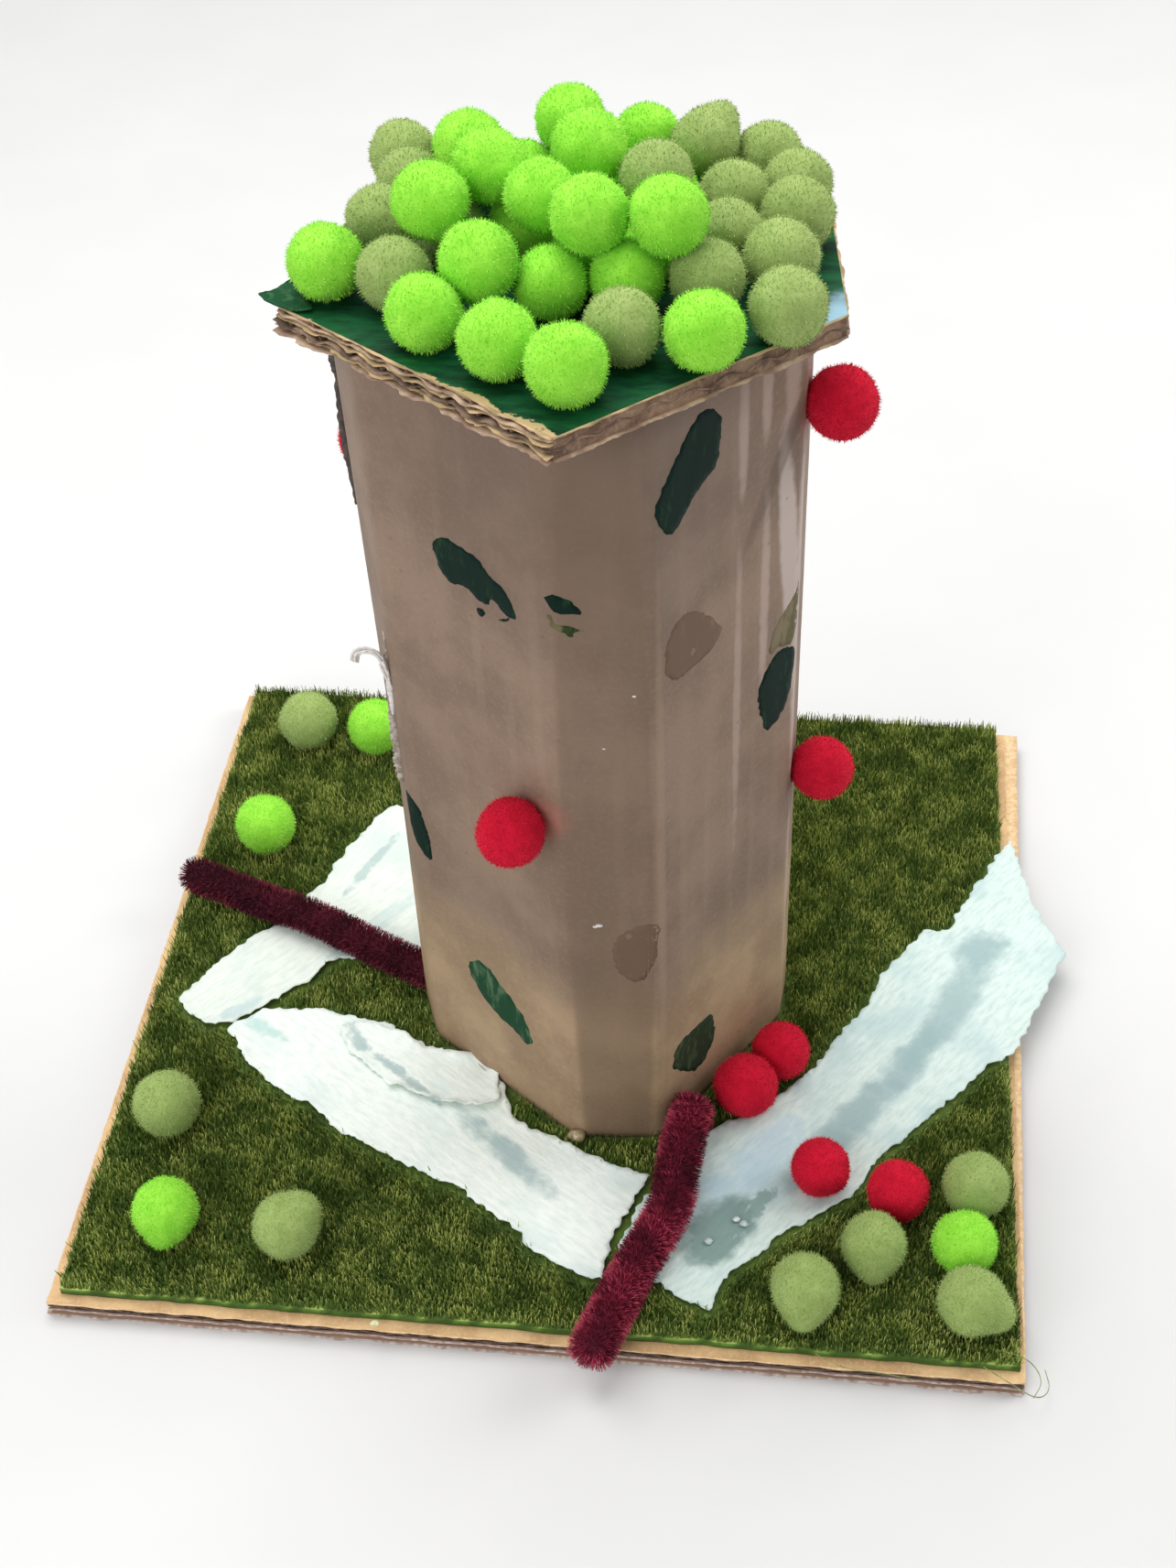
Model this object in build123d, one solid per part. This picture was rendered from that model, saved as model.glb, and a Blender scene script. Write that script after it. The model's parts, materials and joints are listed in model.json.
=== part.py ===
from build123d import *
import os
from math import asin, ceil, cos, floor, hypot, radians, sin, sqrt, tan

# Cardboard tower: a board tube folded from one sheet, on a turfed base board, with a treetop of pompoms.
# Millimetres, +Z up, X to the right along the front edge, Y to the back.
# The origin is the middle of the base board's underside.

# Corrugated stock: fluted medium between two liners
liner = 0.4
medium = 0.4
flute_height = 3.6
wall_flute_height = 2.8
flute_pitch = 7.6
flank_run = 0.75
crest_round = 0.5
root_round = 0.25
board_thickness = flute_height + 2 * liner
wall_thickness = wall_flute_height + 2 * liner

# Base board and turf
base_width = 205.0
base_depth = 194.0
turf_thickness = 3.0
turf_margin_left = 2.5
turf_margin_right = 4.0
turf_margin_front = 2.5
foot_level = board_thickness + turf_thickness

# Tower: plan of the outer liner, from the seam at the left round by the front
tower_plan = [
    (-35.6, -6.0),
    (-30.5, -19.5),
    (5.0, -45.6),
    (23.7, -43.9),
    (47.9, -7.3),
    (49.0, 5.0),
    (38.0, 24.0),
    (-12.0, 24.0),
    (-30.0, 16.0),
]
seam_panel = 8
river_panel = 3
front_fold = 2
fold_radius = 6.0
fold_crush = 0.8
tower_height = 193.0
lap_width = 10.0
lap_thickness = 1.2
lap_length = 44.0

# Roof board, laid on the wall and tilted to the back
roof_tilt = 4.0
roof_thickness = flute_height + 2 * liner
roof_land = 1.0
roof_front = (10.2, -15.0)
roof_right = (54.7, 28.0)
roof_back_right = (49.0, 83.0)
roof_back_left = (-32.0, 84.0)
roof_left = (-42.5, 24.8)
roof_front_y = tower_plan[front_fold][1]

# Pompoms: felted cores, pressed a little into what they are glued to
roof_core = 12.4
green_core = 13.6
red_core = 12.8
glue_press = 0.15
glue_film = 0.05
tip_end = 0.3

# Torn paper and chenille stems
paper_thickness = 0.5
paper_clearance = 0.6
stem_diameter = 8.0
stem_clearance = 0.05
stem_wall_gap = 0.6
stem_level = foot_level + paper_thickness + stem_clearance + stem_diameter / 2
stem_rise = 4.5
stem_front_along = 5.9
stem_front_overhang = 7.5
stem_front_edge_x = 15.0
stem_left_setback = 1.2
stem_left_inset = 1.5
stem_left_edge_y = 23.5
bend_share = 0.45

# Roof pompoms in the order in which they were laid: colour, right, back, size over roof_core.
# Those called inner lie inside or behind the heap and carry the ones that show.
roof_pompoms = [
    ("lime", 11.0, -3.5, 0.6),
    ("lime", -1.0, 4.0, 0.2),
    ("lime", -14.5, 12.5, 0.0),
    ("olive", 18.5, 10.0, -0.2),
    ("lime", 32.0, 9.0, 0.4),
    ("olive", 45.0, 18.5, 0.2),
    ("lime", -34.5, 29.0, 0.2),
    ("olive", -21.8, 25.5, 0.0),
    ("lime", 5.0, 24.5, -0.4),
    ("lime", 17.5, 27.0, 0.0),
    ("olive", 31.0, 28.0, 0.0),
    ("olive", 43.0, 36.0, 0.2),
    ("olive", -28.0, 46.0, -0.4),
    ("olive", 33.5, 44.5, -0.4),
    ("olive", 45.0, 52.0, 0.4),
    ("lime", -2.5, 46.5, -0.4),
    ("olive", -25.5, 61.5, -0.4),
    ("olive", 33.5, 59.0, 0.0),
    ("inner", 9.5, 36.5, -0.4),
    ("inner", -14.7, 42.5, -0.4),
    ("inner", 21.5, 40.5, -0.4),
    ("inner", 10.5, 49.0, -0.4),
    ("inner", -5.0, 66.0, -0.4),
    ("inner", 9.8, 65.5, -0.4),
    ("inner", 21.0, 60.0, -0.4),
    ("inner", 44.5, 65.5, -0.4),
    ("inner", -16.0, 73.0, -0.4),
    ("inner", 4.0, 79.0, -0.4),
    ("inner", 38.8, 76.8, -0.4),
    ("inner", -29.0, 73.5, -0.4),
    ("lime", 16.0, 79.0, -0.2),
    ("olive_tipped", 27.2, 74.2, -0.2),
    ("lime", -6.5, 21.0, 0.6),
    ("lime", -14.5, 62.5, 0.0),
    ("olive", 20.5, 50.5, -0.2),
    ("lime", 3.0, 70.5, -0.2),
    ("lime", -16.5, 34.5, 0.4),
    ("lime", 8.0, 57.0, 0.8),
    ("lime", 2.0, 37.5, -0.2),
    ("lime", 24.5, 28.0, 0.4),
    ("lime", 11.5, 27.5, 0.2),
    ("lime", -8.0, 45.5, 0.0),
]
roof_tip = 2.2
roof_tip_toward = (0.5, 0.6, 0.62)

# Green pompoms on the turf: name, nearest corner of the board, distance in from its two sides,
# size over green_core, length of the tip that the felting left, and where the tip points
green_pompoms = [
    ("back_left_olive", "back_left", 21.7, 19.4, 1.0, 0.0, (0, 0, 1)),
    ("back_left_lime", "back_left", 39.9, 20.1, 0.2, 0.0, (0, 0, 1)),
    ("left_lime", "back_left", 18.7, 58.4, 0.6, 0.0, (0, 0, 1)),
    ("left_olive", "front_left", 15.9, 46.9, 0.6, 0.0, (0, 0, 1)),
    ("front_left_lime", "front_left", 22.6, 19.1, -0.2, 1.2, (0, -0.8, -0.6)),
    ("front_left_olive", "front_left", 49.4, 17.3, 0.0, 1.6, (0.7, 0.5, 0.5)),
    ("front_olive", "front_right", 45.2, 12.3, 0.0, 2.0, (0, -0.8, -0.6)),
    ("front_right_olive", "front_right", 31.4, 24.3, -0.6, 1.6, (0, -0.8, -0.6)),
    ("front_right_lime", "front_right", 12.5, 26.5, -0.8, 0.0, (0, 0, 1)),
    ("right_olive", "front_right", 10.0, 41.1, -0.2, 0.0, (0, 0, 1)),
    ("corner_olive", "front_right", 11.3, 12.1, 0.0, 2.2, (0.9, -0.2, -0.3)),
]

# Red pompoms on the base: name, place, and size over red_core
red_paper_inward = (43.2, 42.8)
red_paper_extra = -0.8
red_turf_inward = (26.5, 38.5)
red_turf_extra = -0.4
red_foot_stand_off = 9.4
red_foot_pompoms = [("foot_right", river_panel, 31.9, -0.4), ("foot_left", river_panel, 18.7, 0.7)]

# Red pompoms glued to the wall: name, panel, distance along it, drop below the roof, size over red_core
red_wall_pompoms = [
    ("wall_front", 1, 37.3, 96.7, 0.2),
    ("wall_right_upper", 4, 5.0, 25.0, 0.2),
    ("wall_right_lower", 4, 6.5, 118.0, 0.0),
    ("wall_left", 8, 5.0, 48.0, 0.0),
]

# Torn outlines of the three papers, which lie against the tower's foot
paper_outlines = {
    "paper_left": [
        (-93.5, -14.5), (-91.5, -18.0), (-85.5, -21.5), (-79.5, -21.0), (-72.0, -14.5), (-63.5, -6.0),
        (-58.0, 2.0), (-47.0, 0.5), (-32.0, 2.0), (-26.0, 18.0), (-26.0, 34.0), (-36.0, 48.0),
        (-54.0, 54.5), (-58.0, 48.5), (-63.0, 38.0), (-66.5, 26.0), (-70.0, 20.0), (-69.0, 16.5),
        (-76.5, 9.5), (-80.5, 6.0), (-88.0, -5.0),
    ],
    "paper_front": [
        (-80.0, -23.0), (-73.0, -16.5), (-58.0, -15.5), (-43.5, -18.0), (-31.5, -25.0), (-17.0, -24.0),
        (-12.0, -36.0), (-8.5, -43.5), (2.5, -48.0), (13.5, -53.5), (22.5, -55.5), (19.0, -63.5),
        (15.5, -73.0), (15.0, -83.0), (9.0, -82.0), (0.5, -78.0), (-8.0, -70.0), (-19.0, -62.5),
        (-35.0, -56.0), (-48.0, -50.0), (-56.0, -43.0), (-67.5, -37.5), (-75.0, -30.0),
    ],
    "paper_right": [
        (24.5, -56.5), (21.0, -64.0), (17.5, -73.5), (17.5, -80.0), (27.0, -83.0), (37.5, -88.0),
        (40.0, -80.5), (51.0, -69.0), (64.5, -58.5), (73.0, -45.5), (92.0, -23.5), (103.5, -12.0),
        (109.0, 2.5), (114.5, 17.0), (107.0, 36.0), (103.0, 54.0), (92.5, 34.5), (88.0, 23.5),
        (81.5, 21.5), (74.0, 10.5), (66.0, -7.0), (56.0, -24.0), (43.0, -37.0), (33.5, -43.0),
    ],
}

# Plan of the stems between their ends, over the papers
stem_left_route = [(-81.0, 15.3), (-64.0, 9.8), (-51.0, 2.8)]
stem_front_route = [(28.0, -53.0), (24.7, -69.0)]


def flute_width(height):
    """Width of a flute's cell along the liner that its open side lies on"""
    return flute_pitch / 2 + flank_run * height - medium * hypot(1, flank_run)


def flute_cell(height, inverted):
    """The open cell beside one crest of the medium, its wide side on a liner"""
    wide = flute_width(height)
    narrow = wide - 2 * flank_run * (height - medium)
    corners = [
        (-wide / 2, 0),
        (wide / 2, 0),
        (narrow / 2, height - medium),
        (-narrow / 2, height - medium),
    ]
    rounds = [root_round, root_round, crest_round, crest_round]
    cell = make_face(FilletPolyline(*corners, radius=rounds, close=True))
    if inverted:
        cell = Pos(0, height) * Rot(0, 0, 180) * cell
    return cell


def flute_row(first, count, height):
    """Cells half a pitch apart, alternately standing and hanging, the first centred at first"""
    return [Pos(first + i * flute_pitch / 2, 0) * flute_cell(height, i % 2 == 1) for i in range(count)]


def base_board():
    """Board with its flutes along the front edge, where it is cut through the flank of a flute"""
    board = Box(base_width, base_depth, board_thickness, align=(Align.CENTER, Align.CENTER, Align.MIN))
    section = Plane(origin=(-base_width / 2, -base_depth / 2, liner), x_dir=(0, 1, 0), z_dir=(1, 0, 0))
    count = ceil(2 * base_depth / flute_pitch) + 1
    cells = flute_row(-flute_pitch / 4, count, flute_height)
    return board - [extrude(section * cell, base_width) for cell in cells]


def turf_mat():
    """Turf's backing and pressed pile, flush with the back edge and short of the other three"""
    left = -base_width / 2 + turf_margin_left
    right = base_width / 2 - turf_margin_right
    front = -base_depth / 2 + turf_margin_front
    back = base_depth / 2
    mat = Box(right - left, back - front, turf_thickness, align=(Align.CENTER, Align.CENTER, Align.MIN))
    return Pos((left + right) / 2, (front + back) / 2, board_thickness) * mat


def panel(index):
    """Start, direction, length and outward normal of one side of the tower's plan"""
    start = Vector(*tower_plan[index])
    end = Vector(*tower_plan[(index + 1) % len(tower_plan)])
    along = (end - start).normalized()
    return start, along, (end - start).length, Vector(along.Y, -along.X)


def fold_setback(index):
    """Distance from a corner of the plan to where the panel becomes straight"""
    corner = index % len(tower_plan)
    turn = panel(corner - 1)[1].get_angle(panel(corner)[1])
    return fold_radius * tan(radians(turn) / 2)


def wall_point(index, along, stand_off):
    """Plan point in front of a panel"""
    start, direction, _, normal = panel(index)
    return start + direction * along + normal * stand_off


def wall_plane(index, along, height):
    """Plane on a panel's outer liner, facing outwards, at a height over the turf"""
    _, direction, _, normal = panel(index)
    point = wall_point(index, along, 0)
    return Plane(origin=(point.X, point.Y, foot_level + height), x_dir=direction, z_dir=normal)


def roof_underside():
    """Plane of the roof board's underside, to which the wall is cut"""
    tilt = radians(roof_tilt)
    origin = (0, roof_front_y, foot_level + tower_height)
    return Plane(origin=origin, x_dir=(1, 0, 0), z_dir=(0, sin(tilt), cos(tilt)))


def roof_top():
    """Plane of the roof board's painted side"""
    return roof_underside().offset(roof_thickness)


def tower_outline():
    """Plan of the tower's outer liner with its folds rounded"""
    return make_face(FilletPolyline(*tower_plan, radius=fold_radius, close=True))


def panel_flutes(index, length_up):
    """Cells of the upright flutes between a panel's two crushed folds"""
    start, along, length, normal = panel(index)
    near = fold_setback(index) + fold_crush
    far = length - fold_setback(index + 1) - fold_crush
    wide = flute_width(wall_flute_height)
    steps = floor((far - near - wide) / (flute_pitch / 2))
    first = (near + far - steps * flute_pitch / 2) / 2
    inset = start - normal * liner
    section = Plane(origin=(inset.X, inset.Y, foot_level), x_dir=along, z_dir=(0, 0, 1))
    cells = flute_row(first, steps + 1, wall_flute_height)
    return [extrude(section * cell, length_up) for cell in cells]


def tower_wall():
    """One sheet creased into a closed tube, with upright flutes and a crushed lap at the seam"""
    outline = tower_outline()
    uncut = tower_height + roof_thickness
    wall = extrude(Pos(0, 0, foot_level) * (outline - offset(outline, -wall_thickness)), uncut)
    flutes = [cell for index in range(len(tower_plan)) for cell in panel_flutes(index, uncut)]
    wall = wall - flutes
    lap_along = panel(seam_panel)[2] - fold_setback(seam_panel + 1) - lap_width / 2
    lap = Box(lap_width, 2 * lap_length, lap_thickness, align=(Align.CENTER, Align.CENTER, Align.MIN))
    wall = wall + wall_plane(seam_panel, lap_along, tower_height) * lap
    return split(wall, bisect_by=roof_underside(), keep=Keep.BOTTOM)


def roof_board():
    """Hand-cut plate with flutes along its front right edge, so that their ends show at the front left"""
    outline = [roof_front, roof_right, roof_back_right, roof_back_left, roof_left]
    plate = extrude(make_face(Polyline(*outline, close=True)), -roof_thickness)
    front, right, back = Vector(*roof_front), Vector(*roof_right), Vector(*roof_back_left)
    along = (right - front).normalized()
    reach = (back - right).length
    start = front - along * reach
    inner_side = liner - roof_thickness
    section = Plane(origin=(start.X, start.Y, inner_side), x_dir=(-along.Y, along.X, 0), z_dir=along)
    count = ceil(2 * reach / flute_pitch)
    cells = flute_row(roof_land + flute_width(flute_height) / 2, count, flute_height)
    return roof_top().location * (plate - [extrude(section * cell, 3 * reach) for cell in cells])


def pompom(core, pressed, tip=0.0, toward=(0, 0, 1)):
    """Felted ball centred on its own origin, with a small flat below where it is pressed and glued"""
    radius = core / 2
    ball = Sphere(radius)
    if tip > 0:
        touch = asin(radius / (radius + tip))
        start = radius * sin(touch)
        mouth = radius * cos(touch)
        cone = Cone(mouth, tip_end, radius + tip - start, align=(Align.CENTER, Align.CENTER, Align.MIN))
        ball = ball + Plane(origin=(0, 0, 0), z_dir=toward).location * Pos(0, 0, start) * cone
    if pressed:
        ball = split(ball, bisect_by=Plane.XY.offset(glue_press - radius), keep=Keep.TOP)
    return ball


def settle(spots):
    """Height of each ball's centre, lying on the surface or on the balls laid before it"""
    laid = []
    for x, y, core in spots:
        height = core / 2 - glue_press
        for other_x, other_y, other_height, other_core in laid:
            reach = (core + other_core) / 2 + glue_film
            apart = hypot(x - other_x, y - other_y)
            if apart < reach:
                height = max(height, other_height + sqrt(reach**2 - apart**2))
        laid.append((x, y, height, core))
    return laid


def lies_on_surface(height, core):
    """True for a ball that is pressed on the surface and not lifted by others"""
    return height < core / 2


def roof_heap():
    """Pompoms of the heap that show, by name, and the group of those inside it"""
    spots = [(right, back, roof_core + extra) for _, right, back, extra in roof_pompoms]
    shown = {}
    inner = []
    for row, (x, y, height, core) in zip(roof_pompoms, settle(spots)):
        colour = row[0]
        tip = roof_tip if colour == "olive_tipped" else 0.0
        ball = pompom(core, lies_on_surface(height, core), tip, roof_tip_toward)
        ball = roof_top().location * Pos(x, y, height) * ball
        if colour == "inner":
            inner.append(ball)
        else:
            shown[f"roof_pompom_{len(shown) + 1:02d}_{colour}"] = ball
    return shown, Compound(inner)


def board_corner(name, inward_x, inward_y):
    """Plan point at a distance in from the two sides that meet at a corner of the base board"""
    side_x = -1 if name.endswith("left") else 1
    side_y = -1 if name.startswith("front") else 1
    return side_x * (base_width / 2 - inward_x), side_y * (base_depth / 2 - inward_y)


def turf_pompoms():
    """Pompoms on the turf: the green ones from the board's corners, the red ones by the tower's foot"""
    laid = []
    for name, corner, inward_x, inward_y, extra, tip, toward in green_pompoms:
        x, y = board_corner(corner, inward_x, inward_y)
        laid.append((f"turf_pompom_{name}", x, y, green_core + extra, tip, toward))
    x, y = board_corner("front_right", *red_turf_inward)
    laid.append(("red_pompom_turf", x, y, red_core + red_turf_extra, 0.0, (0, 0, 1)))
    for name, index, along, extra in red_foot_pompoms:
        spot = wall_point(index, along, red_foot_stand_off)
        laid.append((f"red_pompom_{name}", spot.X, spot.Y, red_core + extra, 0.0, (0, 0, 1)))
    heights = settle([(x, y, core) for _, x, y, core, _, _ in laid])
    balls = {}
    for (name, x, y, core, tip, toward), (_, _, height, _) in zip(laid, heights):
        ball = pompom(core, lies_on_surface(height, core), tip, toward)
        balls[name] = Pos(x, y, foot_level + height) * ball
    return balls


def paper_pompom():
    """Red pompom on the paper at the right"""
    x, y = board_corner("front_right", *red_paper_inward)
    core = red_core + red_paper_extra
    return Pos(x, y, foot_level + paper_thickness + core / 2 - glue_press) * pompom(core, True)


def wall_pompoms():
    """Red pompoms glued to the outer liner, each pressed on its panel"""
    balls = {}
    for name, index, along, drop, extra in red_wall_pompoms:
        core = red_core + extra
        seat = wall_plane(index, along, tower_height - drop)
        balls[f"red_pompom_{name}"] = seat.location * Pos(0, 0, core / 2 - glue_press) * pompom(core, True)
    return balls


def papers():
    """Torn pieces of paper towel on the turf, cut round the tower's foot"""
    room = extrude(Pos(0, 0, foot_level) * offset(tower_outline(), paper_clearance), paper_thickness)
    pieces = {}
    for name, outline in paper_outlines.items():
        torn = Pos(0, 0, foot_level) * make_face(Polyline(*outline, close=True))
        pieces[name] = extrude(torn, paper_thickness) - room
    return pieces


def stem(route):
    """Chenille stem along straight runs joined by arcs as large as the runs allow"""
    radii = []
    for before, here, after in zip(route, route[1:], route[2:]):
        turn = (here - before).get_angle(after - here)
        shorter = min((here - before).length, (after - here).length)
        radii.append(bend_share * shorter / tan(radians(turn) / 2))
    path = FilletPolyline(*route, radius=radii)
    start = Plane(origin=path @ 0, z_dir=path % 0)
    return sweep(start * Circle(stem_diameter / 2), path=path)


def stem_left():
    """Stem from the tower's left fold over the paper to the board's left edge"""
    last = Vector(*stem_left_route[-1])
    touch = wall_point(seam_panel, panel(seam_panel)[2] - stem_left_setback, 0)
    normal = panel(seam_panel)[3]
    aim = (touch - last).normalized()
    lean = stem_diameter / 2 * sqrt(1 - aim.dot(normal) ** 2)
    inner_end = touch + normal * (lean + glue_film)
    outer_end = Vector(-base_width / 2 + stem_left_inset, stem_left_edge_y)
    plan = [inner_end] + [Vector(*spot) for spot in reversed(stem_left_route)] + [outer_end]
    return stem([Vector(spot.X, spot.Y, stem_level) for spot in plan])


def stem_front():
    """Stem raised against the wall at its upper end, over the paper and past the board's front edge"""
    upper_end = wall_point(river_panel, stem_front_along, stem_diameter / 2 + stem_wall_gap)
    lower_end = Vector(stem_front_edge_x, -base_depth / 2 - stem_front_overhang)
    plan = [Vector(*spot) for spot in stem_front_route] + [lower_end]
    route = [Vector(upper_end.X, upper_end.Y, stem_level + stem_rise)]
    return stem(route + [Vector(spot.X, spot.Y, stem_level) for spot in plan])


def build():
    """Every piece of the model by the name of its node"""
    nodes = {
        "base_board": base_board(),
        "turf_mat": turf_mat(),
        "tower_wall": tower_wall(),
        "roof_board": roof_board(),
        "stem_left": stem_left(),
        "stem_front": stem_front(),
        "red_pompom_paper": paper_pompom(),
    }
    shown, inner = roof_heap()
    nodes.update(papers())
    nodes.update(turf_pompoms())
    nodes.update(wall_pompoms())
    nodes.update(shown)
    nodes["roof_pompoms_inner"] = inner
    return nodes


os.makedirs("parts", exist_ok=True)
for node, shape in build().items():
    export_step(shape, f"parts/{node}.step")
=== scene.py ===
"""Looks of the cardboard tower: board, turf, felt, torn paper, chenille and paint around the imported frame."""

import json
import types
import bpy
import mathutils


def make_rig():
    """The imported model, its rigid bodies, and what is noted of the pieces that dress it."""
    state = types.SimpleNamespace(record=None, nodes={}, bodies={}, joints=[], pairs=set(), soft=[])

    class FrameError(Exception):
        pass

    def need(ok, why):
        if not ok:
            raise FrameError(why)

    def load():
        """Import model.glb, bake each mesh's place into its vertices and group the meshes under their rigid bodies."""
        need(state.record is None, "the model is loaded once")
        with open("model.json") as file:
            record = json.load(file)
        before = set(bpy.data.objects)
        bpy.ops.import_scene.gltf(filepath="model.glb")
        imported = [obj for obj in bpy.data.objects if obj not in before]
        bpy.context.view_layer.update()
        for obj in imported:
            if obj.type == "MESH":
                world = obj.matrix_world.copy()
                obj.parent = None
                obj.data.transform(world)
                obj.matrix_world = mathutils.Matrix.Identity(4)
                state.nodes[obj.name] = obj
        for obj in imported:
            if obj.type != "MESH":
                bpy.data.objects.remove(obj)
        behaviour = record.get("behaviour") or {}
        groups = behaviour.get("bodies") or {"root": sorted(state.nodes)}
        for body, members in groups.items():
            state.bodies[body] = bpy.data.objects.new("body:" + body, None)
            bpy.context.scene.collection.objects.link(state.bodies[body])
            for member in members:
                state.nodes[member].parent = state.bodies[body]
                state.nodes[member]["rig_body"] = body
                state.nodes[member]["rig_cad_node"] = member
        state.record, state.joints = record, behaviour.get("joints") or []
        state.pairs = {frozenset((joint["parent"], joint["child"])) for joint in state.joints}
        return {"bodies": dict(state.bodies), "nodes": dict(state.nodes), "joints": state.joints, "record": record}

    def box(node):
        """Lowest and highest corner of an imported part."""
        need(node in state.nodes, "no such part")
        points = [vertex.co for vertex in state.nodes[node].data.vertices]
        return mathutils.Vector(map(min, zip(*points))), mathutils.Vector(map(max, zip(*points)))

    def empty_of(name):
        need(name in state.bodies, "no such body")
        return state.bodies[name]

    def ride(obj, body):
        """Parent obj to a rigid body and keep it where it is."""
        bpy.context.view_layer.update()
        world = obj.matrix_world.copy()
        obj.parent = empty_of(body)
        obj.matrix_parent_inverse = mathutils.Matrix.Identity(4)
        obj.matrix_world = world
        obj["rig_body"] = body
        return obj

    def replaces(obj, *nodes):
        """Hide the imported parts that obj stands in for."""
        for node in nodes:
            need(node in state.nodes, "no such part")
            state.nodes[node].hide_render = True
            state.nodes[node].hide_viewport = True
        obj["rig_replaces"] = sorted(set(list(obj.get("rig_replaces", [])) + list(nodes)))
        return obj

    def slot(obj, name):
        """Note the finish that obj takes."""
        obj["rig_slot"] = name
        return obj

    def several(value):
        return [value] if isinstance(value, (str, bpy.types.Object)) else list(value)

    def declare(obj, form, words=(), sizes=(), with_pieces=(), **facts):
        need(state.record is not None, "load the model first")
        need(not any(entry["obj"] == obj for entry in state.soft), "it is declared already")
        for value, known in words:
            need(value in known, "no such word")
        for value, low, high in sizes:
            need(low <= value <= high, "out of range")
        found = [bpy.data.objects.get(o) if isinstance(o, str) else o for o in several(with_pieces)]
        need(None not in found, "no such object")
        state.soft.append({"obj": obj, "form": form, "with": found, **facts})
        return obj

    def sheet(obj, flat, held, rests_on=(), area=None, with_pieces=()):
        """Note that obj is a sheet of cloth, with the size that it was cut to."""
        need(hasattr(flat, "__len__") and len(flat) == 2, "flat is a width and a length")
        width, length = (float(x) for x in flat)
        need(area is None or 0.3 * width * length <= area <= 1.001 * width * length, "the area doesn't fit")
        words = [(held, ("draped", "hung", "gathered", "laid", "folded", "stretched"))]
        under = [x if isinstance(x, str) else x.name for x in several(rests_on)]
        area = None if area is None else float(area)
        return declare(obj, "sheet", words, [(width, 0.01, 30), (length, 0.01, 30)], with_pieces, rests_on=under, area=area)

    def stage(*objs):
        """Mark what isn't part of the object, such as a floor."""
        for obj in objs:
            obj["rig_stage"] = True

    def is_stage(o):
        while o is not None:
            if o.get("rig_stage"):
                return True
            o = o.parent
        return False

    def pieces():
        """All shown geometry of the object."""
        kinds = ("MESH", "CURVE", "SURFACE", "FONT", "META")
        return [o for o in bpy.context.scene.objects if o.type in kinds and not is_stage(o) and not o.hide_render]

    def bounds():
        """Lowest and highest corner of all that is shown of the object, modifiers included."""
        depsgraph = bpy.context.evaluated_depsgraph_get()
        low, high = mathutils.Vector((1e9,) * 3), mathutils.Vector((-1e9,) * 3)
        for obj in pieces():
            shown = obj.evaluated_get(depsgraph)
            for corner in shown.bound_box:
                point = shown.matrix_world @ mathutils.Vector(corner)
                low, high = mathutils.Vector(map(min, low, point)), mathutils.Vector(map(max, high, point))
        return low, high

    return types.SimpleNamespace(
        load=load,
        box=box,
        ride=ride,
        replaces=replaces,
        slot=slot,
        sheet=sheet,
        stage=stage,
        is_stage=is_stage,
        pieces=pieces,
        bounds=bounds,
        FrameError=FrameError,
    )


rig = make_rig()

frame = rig.load()

import json
import logging
import math
from dataclasses import dataclass, field, fields
from enum import Enum
from typing import Callable, Iterable, Sequence

import bmesh
import bpy
import numpy as np
from mathutils import Matrix, Vector, noise
from mathutils.geometry import delaunay_2d_cdt

BODY = "root"
SIZE_FILE = "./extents.json"
MM = 0.001
PER_MM2 = 1.0e6
STRAIGHT = 0.01

Colour = tuple[float, float, float, float]
Spot = tuple[float, float]
Outline = Sequence[Spot]
Face = tuple[int, ...]
Material = bpy.types.Material
Object = bpy.types.Object
Tree = bpy.types.NodeTree
Node = bpy.types.Node
Socket = bpy.types.NodeSocket
Value = object

log = logging.getLogger("cardboard_tower")


class Felt(Enum):
    """Colours of the felted pompoms."""

    LIME = "lime"
    OLIVE = "olive"
    RED = "red"


class Slot(Enum):
    """Material slots of the record."""

    KRAFT = "kraft_board"
    PAINTED = "painted_board"
    TURF = "turf"
    PAPER = "washed_paper"
    CHENILLE = "chenille"
    LIME = "lime_felt"
    OLIVE = "olive_felt"
    RED = "red_felt"


def rgb(red: float, green: float, blue: float) -> Colour:
    """Turn a display colour into a linear one.

    Args:
        red: Red from 0 to 255.
        green: Green from 0 to 255.
        blue: Blue from 0 to 255.

    Returns:
        The linear colour with full alpha.
    """
    parts = [value / 255 for value in (red, green, blue)]
    return (*[p / 12.92 if p <= 0.04045 else ((p + 0.055) / 1.055) ** 2.4 for p in parts], 1.0)


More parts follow.
